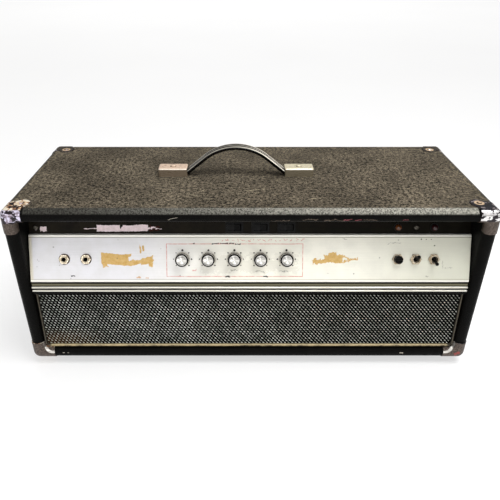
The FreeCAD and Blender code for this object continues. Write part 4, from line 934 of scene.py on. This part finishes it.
# ------------------------------------------------------------------ grille
def weave_tree():
    """Rows of short raised float threads, each row shifted along from the one below."""
    tree, n, given, out = generator("float weave", {
        "Columns": 10, "Rows": 10, "Pitch": 0.005, "Rise": 0.004, "Shift": 0.002, "Float length": 0.004,
        "Float width": 0.001, "Slope": -0.8, "Seed": 3, "Thread": "Material"})
    wide = n.times(n.minus(given["Columns"], 1), given["Pitch"])
    tall = n.times(n.minus(given["Rows"], 1), given["Rise"])
    grid = n.geo("MeshGrid", {0: wide, 1: tall, 2: given["Columns"], 3: given["Rows"]})
    y = n.parts(n.geo("InputPosition"))[1]
    row = n.math("DIVIDE", n.plus(y, n.times(tall, 0.5)), given["Rise"])
    turns = n.math("DIVIDE", n.times(row, given["Shift"]), given["Pitch"])
    slide = n.times(n.math("FRACT", turns), given["Pitch"])
    moved = n.geo("SetPosition", {0: grid, 3: n.joined(slide, 0.0)})
    points = n.geo("MeshToPoints", {0: moved})
    half = n.times(given["Float length"], 0.5)
    ends = [n.joined(n.times(half, side), 0.0) for side in (-1.0, 1.0)]
    crown = n.joined(0.0, 0.0, given["Float width"])
    line = n.geo("CurveQuadraticBezier", {0: 4, 1: ends[0], 2: crown, 3: ends[1]})
    along = n.add("GeometryNodeSplineParameter").outputs["Factor"]
    swell = n.math("POWER", n.math("SINE", n.times(along, math.pi)), 0.5)
    swell = n.greater(swell, 0.35)
    radius = n.times(n.times(given["Float width"], 0.5), swell)
    sized = n.geo("SetCurveRadius", {0: line, 2: radius})
    circle = n.geo("CurvePrimitiveCircle", {"Resolution": 6, "Radius": 1.0})
    sweep = n.add("GeometryNodeCurveToMesh", {0: sized, 1: circle})
    for socket in sweep.inputs:
        if socket.name == "Scale":
            n.feed(socket, radius)
        if socket.name == "Fill Caps":
            socket.default_value = True
    feeds = {"Seed": given["Seed"]}
    chance = n.add("FunctionNodeRandomValue", feeds, data_type="FLOAT").outputs[1]
    turn = n.joined(0.0, 0.0, n.plus(given["Slope"], n.times(n.minus(chance, 0.5), 0.1)))
    placed = n.geo("InstanceOnPoints", {0: points, 2: sweep.outputs[0], 5: turn})
    named = n.add("GeometryNodeStoreNamedAttribute", {0: placed}, data_type="FLOAT", domain="INSTANCE")
    named.inputs["Name"].default_value = "thread_shade"
    shade_seed = n.add("FunctionNodeRandomValue", {"Seed": n.plus(given["Seed"], 7)},
                       data_type="FLOAT").outputs[1]
    n.feed(next(i for i in named.inputs if i.name == "Value" and i.enabled), shade_seed)
    settle(n, named.outputs[0], given["Thread"], out)
    return tree


def make_grille():
    """A stretched backing sheet and the raised weave on it."""
    wide = cloth_high.x - cloth_low.x
    tall = grille_top - grille_foot
    sheet_lift = -0.45 * MM
    backing = stretched_sheet("grille_backing", wide, tall, sheet_lift)
    backing.data.materials.append(finishes["grille_cloth"])
    pitch = 5.55 * MM
    rise = 4.0 * MM
    columns = int((wide - pitch) / pitch)
    rows = int((tall - rise) / rise)
    values = {"Columns": columns, "Rows": rows, "Pitch": pitch, "Rise": rise, "Shift": 1.9 * MM,
              "Float length": 3.6 * MM, "Float width": 1.25 * MM, "Slope": math.radians(-38),
              "Seed": 5, "Thread": weave_thread}
    weave = grown("grille_weave", weave_tree(), values)
    middle = on_grille(-pitch / 2, tall / 2, sheet_lift - 0.25 * MM)
    weave.data.transform(facing(across, grille_up, grille_out, middle))
    for piece in (backing, weave):
        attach(piece, "cabinet")
    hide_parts("grille_cloth")


def stretched_sheet(name, wide, tall, lift):
    """Thin sheet pulled tight over its frame, with a slight hollow in the middle."""
    mesh = bpy.data.meshes.new(name)
    work = bmesh.new()
    columns = 60
    rows = 12
    grid = []
    for j in range(rows + 1):
        for i in range(columns + 1):
            u = i / columns
            v = j / rows
            hollow = 0.35 * MM * math.sin(math.pi * u) * math.sin(math.pi * v)
            grid.append(work.verts.new(on_grille((u - 0.5) * wide, v * tall, lift - hollow)))
    for j in range(rows):
        for i in range(columns):
            a = j * (columns + 1) + i
            b = a + columns + 1
            work.faces.new((grid[a], grid[a + 1], grid[b + 1], grid[b]))
    work.to_mesh(mesh)
    work.free()
    mesh.shade_smooth()
    return kept(name, mesh)


# ------------------------------------------------------------------ turned pieces
def turned(name, profile, sides, origin, materials):
    """Solid of revolution about the panel's normal: profile rows are (radius, height, material)."""
    mesh = bpy.data.meshes.new(name)
    work = bmesh.new()
    rings = []
    for radius, height, _ in profile:
        ring = [work.verts.new((radius * math.cos(full_turn * k / sides),
                                radius * math.sin(full_turn * k / sides), height))
                for k in range(sides)]
        rings.append(ring)
    turning = work.loops.layers.uv.new("turning")
    for (low, high), row in zip(zip(rings, rings[1:]), range(len(profile))):
        for k in range(sides):
            after = (k + 1) % sides
            face = work.faces.new((low[k], low[after], high[after], high[k]))
            face.material_index = profile[row + 1][2]
            face.smooth = True
            spans = ((k, row), (k + 1, row), (k + 1, row + 1), (k, row + 1))
            for loop, (turn, level) in zip(face.loops, spans):
                loop[turning].uv = (uv_turn * turn / sides, profile[level][0] / MM)
    for ring, flip, row in ((rings[0], True, 0), (rings[-1], False, -1)):
        face = work.faces.new(list(reversed(ring)) if flip else ring)
        face.material_index = profile[row][2]
        for loop in face.loops:
            loop[turning].uv = (0.0, profile[row][0] / MM)
    work.to_mesh(mesh)
    work.free()
    mesh.transform(facing(across, panel_up, panel_out, origin))
    piece = kept(name, mesh)
    for material in materials:
        mesh.materials.append(material)
    return piece


def rib_tree():
    """Upright half-round ribs evenly spaced around a barrel."""
    tree, n, given, out = generator("barrel ribs", {
        "Ribs": 24, "Barrel radius": 0.009, "Rib radius": 0.0008, "Rib height": 0.008,
        "Base height": 0.0, "Metal": "Material"})
    circle = n.geo("CurvePrimitiveCircle", {"Resolution": given["Ribs"], "Radius": given["Barrel radius"]})
    points = n.geo("CurveToPoints", {0: circle}, mode="EVALUATED")
    feeds = {"Vertices": 8, "Side Segments": 1, "Radius": given["Rib radius"], "Depth": given["Rib height"]}
    rod = n.geo("MeshCylinder", feeds)
    placed = n.geo("InstanceOnPoints", {0: points, 2: rod})
    lift = n.scaled(given["Rib height"], 0.5, given["Base height"])
    raised = n.geo("Transform", {0: placed, "Translation": n.joined(0.0, 0.0, lift)})
    settle(n, raised, given["Metal"], out)
    return tree


def knob_seat(number, lift=0.0):
    """Point where a knob's axis meets the panel's face, raised by lift."""
    centre = Vector(joint(f"knob_turn_{number}")["pos_m"])
    return centre - panel_out * (centre.dot(panel_out) - panel_face - lift)


def knob_profile(foot, top):
    """Skirt, barrel, black ring and spun face: (radius, height, material) up the knob."""
    side, face, ring = 0, 1, 2
    rows = [(10.4, foot, ring), (10.9, foot + 0.3, ring), (10.9, foot + 1.1, side), (10.3, foot + 2.4, side),
            (9.6, foot + 2.6, side), (8.75, foot + 2.8, ring), (8.75, top - 1.9, side),
            (9.25, top - 1.6, ring), (9.15, top - 1.0, ring), (7.4, top - 0.8, ring),
            (7.3, top - 0.4, ring), (7.2, top - 0.05, face), (7.0, top, face), (6.8, top - 0.05, face),
            (6.5, top - 0.2, face), (4.0, top - 0.4, face), (0.15, top - 0.5, face)]
    return [(radius * MM, height * MM, kind) for radius, height, kind in rows]


def make_knobs():
    ribs = rib_tree()
    for number in range(1, 6):
        low, high = spread(f"knob_{number}", panel_out)
        base = knob_seat(number)
        foot = low - panel_face
        top = high - panel_face
        body = turned(f"knob_{number}_turned", knob_profile(foot / MM, top / MM), 64, base,
                      [finishes["knob_metal"], spun_face, finishes["black_plastic"]])
        values = {"Ribs": 24, "Barrel radius": 8.7 * MM, "Rib radius": 0.62 * MM,
                  "Rib height": (top - foot) - 4.6 * MM, "Base height": foot + 2.6 * MM,
                  "Metal": finishes["knob_metal"]}
        grip = grown(f"knob_{number}_ribs", ribs, values)
        grip.data.transform(facing(across, panel_up, panel_out, base))
        for piece in (body, grip):
            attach(piece, f"knob_unit_{number}")
            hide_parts(f"knob_{number}")


# ------------------------------------------------------------------ dial marks
def dial_tree():
    """Flat ink dots on an arc about a knob, the middle one larger."""
    tree, n, given, out = generator("dial dots", {
        "Dots": 7, "Arc radius": 0.012, "Sweep": 4.7, "Dot radius": 0.0006, "Thickness": 0.00012,
        "Seed": 1, "Ink": "Material"})
    points = n.geo("Points", {"Count": given["Dots"]})
    index = n.geo("InputIndex")
    last = n.minus(given["Dots"], 1)
    share = n.minus(n.math("DIVIDE", index, last), 0.5)
    angle = n.times(share, given["Sweep"])
    x = n.times(n.math("SINE", angle), given["Arc radius"])
    y = n.times(n.math("COSINE", angle), given["Arc radius"])
    set_out = n.geo("SetPosition", {0: points, 2: n.joined(x, y)})
    feeds = {"Vertices": 12, "Radius": given["Dot radius"], "Depth": given["Thickness"]}
    disc = n.geo("MeshCylinder", feeds)
    middle = n.math("LESS_THAN", n.size_of(share), 0.01)
    chance = n.add("FunctionNodeRandomValue", {"Seed": given["Seed"]}, data_type="FLOAT").outputs[1]
    size = n.plus(n.scaled(chance, 0.4, 0.6), n.times(middle, 0.5))
    placed = n.geo("InstanceOnPoints", {0: set_out, 2: disc, 6: n.joined(size, size, 1.0)})
    settle(n, placed, given["Ink"], out)
    return tree


def make_dials():
    dots = dial_tree()
    ink_lift = 0.04 * MM
    ink_thickness = 0.12 * MM
    switch_marks = ((0.2438, 0.0622), (0.2508, 0.0620), (0.2579, 0.0621), (0.2630, 0.0532))
    meshes = []
    for number in range(1, 6):
        base = knob_seat(number, ink_lift)
        values = {"Dots": 7, "Arc radius": 12.9 * MM, "Sweep": math.radians(270), "Dot radius": 1.15 * MM,
                  "Thickness": ink_thickness, "Seed": number, "Ink": dial_ink}
        ring = grown(f"dial_{number}", dots, values)
        ring.data.transform(facing(across, panel_up, panel_out, base))
        meshes.append(ring)
    for number, (x, s) in enumerate(switch_marks):
        values = {"Dots": 1, "Arc radius": 0.0, "Sweep": 0.0, "Dot radius": 1.0 * MM,
                  "Thickness": ink_thickness, "Seed": number, "Ink": dial_ink}
        mark = grown(f"switch_mark_{number}", dots, values)
        mark.data.transform(facing(across, panel_up, panel_out, on_panel(x, s, ink_lift)))
        meshes.append(mark)
    marks = joined_pieces("dial_marks", meshes, dial_ink)
    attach(marks, "cabinet")


def joined_pieces(name, pieces, finish):
    """One mesh of one finish from several pieces that all sit at the origin."""
    work = bmesh.new()
    for piece in pieces:
        work.from_mesh(piece.data)
    mesh = bpy.data.meshes.new(name)
    work.to_mesh(mesh)
    work.free()
    mesh.materials.append(finish)
    for face in mesh.polygons:
        face.material_index = 0
    for piece in pieces:
        bpy.data.objects.remove(piece)
    return kept(name, mesh)


# ------------------------------------------------------------------ handle strap
def strap_path():
    """Centre line in the X-Z plane: foot bends, straight flanks and a broad crown."""
    centre = (caps_low.x + caps_high.x) / 2
    half_thick = 2.5 * MM
    start_z = strap_low.z + half_thick
    crown_z = strap_high.z - half_thick
    half_run = 77.5 * MM
    flank = math.radians(39.0)
    foot_radius = 7.0 * MM
    foot_rise = foot_radius * (1 - math.cos(flank))
    foot_run = foot_radius * math.sin(flank)
    left = half_run - foot_run
    climb = crown_z - start_z - foot_rise
    crown_radius = (left * math.tan(flank) - climb) / (1 / math.cos(flank) - 1)
    points = [(-(caps_high.x - caps_low.x) / 2 + 8 * MM, start_z), (-half_run - 1 * MM, start_z)]
    for k in range(7):
        turn = flank * k / 6
        rise = foot_radius * (1 - math.cos(turn))
        points.append((-half_run + foot_radius * math.sin(turn), start_z + rise))
    for k in range(25):
        turn = -flank + 2 * flank * k / 24
        points.append((crown_radius * math.sin(turn), crown_z - crown_radius * (1 - math.cos(turn))))
    for x, z in list(reversed(points[:9])):
        points.append((-x, z))
    return [Vector((centre + x, 0, z)) for x, z in points]


def swept_tree():
    """A profile carried along a path; both are curve objects."""
    tree, n, given, out = generator("swept strip", {
        "Path": "Object", "Profile": "Object", "Finish": "Material"})
    path = n.add("GeometryNodeObjectInfo", {"Object": given["Path"]}).outputs["Geometry"]
    profile = n.add("GeometryNodeObjectInfo", {"Object": given["Profile"]}).outputs["Geometry"]
    upright = n.geo("SetCurveNormal", {0: path})
    sweep = n.add("GeometryNodeCurveToMesh", {0: upright, 1: profile})
    for socket in sweep.inputs:
        if socket.name == "Fill Caps":
            socket.default_value = True
    settle(n, sweep.outputs[0], given["Finish"], out)
    return tree


def line_object(name, points, closed=False):
    curve = bpy.data.curves.new(name, "CURVE")
    curve.dimensions = "3D"
    spline = curve.splines.new("POLY")
    spline.points.add(len(points) - 1)
    for target, point in zip(spline.points, points):
        target.co = (*point, 1)
    spline.use_cyclic_u = closed
    piece = bpy.data.objects.new(name, curve)
    scene.collection.objects.link(piece)
    return piece


def strap_profile():
    """Half section mirrored: flat underside, rounded sides, a raised bead near each edge."""
    half = [(0.0, 2.5), (0.7, 2.35), (1.3, 1.75), (3.5, 1.6), (5.6, 1.75), (6.2, 2.35), (strap_bead, 2.5),
            (7.6, 2.35), (8.4, 1.9), (9.2, 1.2), (9.75, 0.3), (9.75, -0.8), (9.2, -1.8), (8.2, -2.35),
            (6.5, -2.5), (3.0, -2.5)]
    mirror = [(-x, y) for x, y in reversed(half[1:])]
    return [Vector((x * MM, y * MM, 0)) for x, y in half + mirror]


def make_strap():
    centre_line = line_object("strap_line", strap_path())
    section = line_object("strap_section", strap_profile(), closed=True)
    values = {"Path": centre_line, "Profile": section, "Finish": finishes["strap_plastic"]}
    strap = grown("strap", swept_tree(), values)
    for helper in (centre_line, section):
        bpy.data.objects.remove(helper)
    facing_out(strap.data)
    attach(strap, "cabinet")
    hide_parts("handle_strap")


def facing_out(mesh):
    work = bmesh.new()
    work.from_mesh(mesh)
    bmesh.ops.remove_doubles(work, verts=work.verts, dist=1e-6)
    bmesh.ops.recalc_face_normals(work, faces=work.faces)
    work.to_mesh(mesh)
    work.free()


# ------------------------------------------------------------------ studio
def studio_material(name, light, dark, size):
    n, place = finish_of(name)
    cloud = n.noise(place, size, 2.0)
    return n.surface(n.mix(n.ramp(cloud, 0.3, 0.7), light, dark), n.ramp(cloud, 0.3, 0.7, 0.85, 0.9))


def make_floor():
    mesh = bpy.data.meshes.new("studio_floor")
    size = 9.0
    corners = [(-size, -size, 0), (size, -size, 0), (size, size, 0), (-size, size, 0)]
    mesh.from_pydata(corners, [], [(0, 1, 2, 3)])
    floor = kept("studio_floor", mesh)
    paper = studio_material("studio paper", shade(176, 176, 176), shade(173, 173, 173), 900.0)
    glow = paper.node_tree.nodes["Principled BSDF"].inputs
    glow["Emission Color"].default_value = (1.0, 1.0, 1.0, 1.0)
    glow["Emission Strength"].default_value = 0.58
    mesh.materials.append(paper)


def soft_light(name, size, power, place, aim):
    light = bpy.data.lights.new(name, "AREA")
    light.shape = "RECTANGLE"
    light.size, light.size_y = size
    light.energy = power
    lamp = bpy.data.objects.new(name, light)
    scene.collection.objects.link(lamp)
    lamp.location = place
    lamp.rotation_euler = (Vector(aim) - Vector(place)).to_track_quat("-Z", "Y").to_euler()
    return lamp


def make_studio():
    """Low room light, a broad softbox above and to the right, and lights for the front and backdrop."""
    world = bpy.data.worlds.new("studio")
    scene.world = world
    world.use_nodes = True
    n = Nodes(world.node_tree)
    way = n.add("ShaderNodeTexCoord").outputs["Generated"]
    above = n.ramp(n.parts(way)[2], 0.1, 0.9)
    backdrop = world.node_tree.nodes["Background"].inputs
    n.feed(backdrop["Color"], n.mix(above, (0.17, 0.16, 0.15, 1.0), (0.42, 0.42, 0.42, 1.0)))
    backdrop["Strength"].default_value = 1.0
    soft_light("softbox", size=(1.0, 0.9), power=24.0, place=(0.45, -0.35, 1.6), aim=(0.05, -0.05, 0.2))
    soft_light("front", size=(2.8, 1.0), power=20.0, place=(-0.3, -2.5, 1.0), aim=(0, 0, 0.2))
    backdrop_light = soft_light("backdrop", size=(7.0, 5.0), power=330.0, place=(0, 6.0, 6.0),
                                aim=(0, 6.0, 0))
    backdrop_light.visible_glossy = False
    scene.view_settings.view_transform = "Standard"


def make_camera():
    camera = bpy.data.cameras.new("camera")
    camera.lens = 37.71
    camera.sensor_width = 36.0
    camera.shift_x = 0.0236
    camera.clip_start = 0.01
    view = bpy.data.objects.new("camera", camera)
    scene.collection.objects.link(view)
    view.location = (-0.0167, -0.7534, 0.5695)
    view.rotation_euler = (math.radians(59.7745), 0, 0)
    scene.camera = view


finish_cad_nodes()
make_grille()
make_knobs()
make_dials()
make_strap()
make_floor()
make_studio()
make_camera()
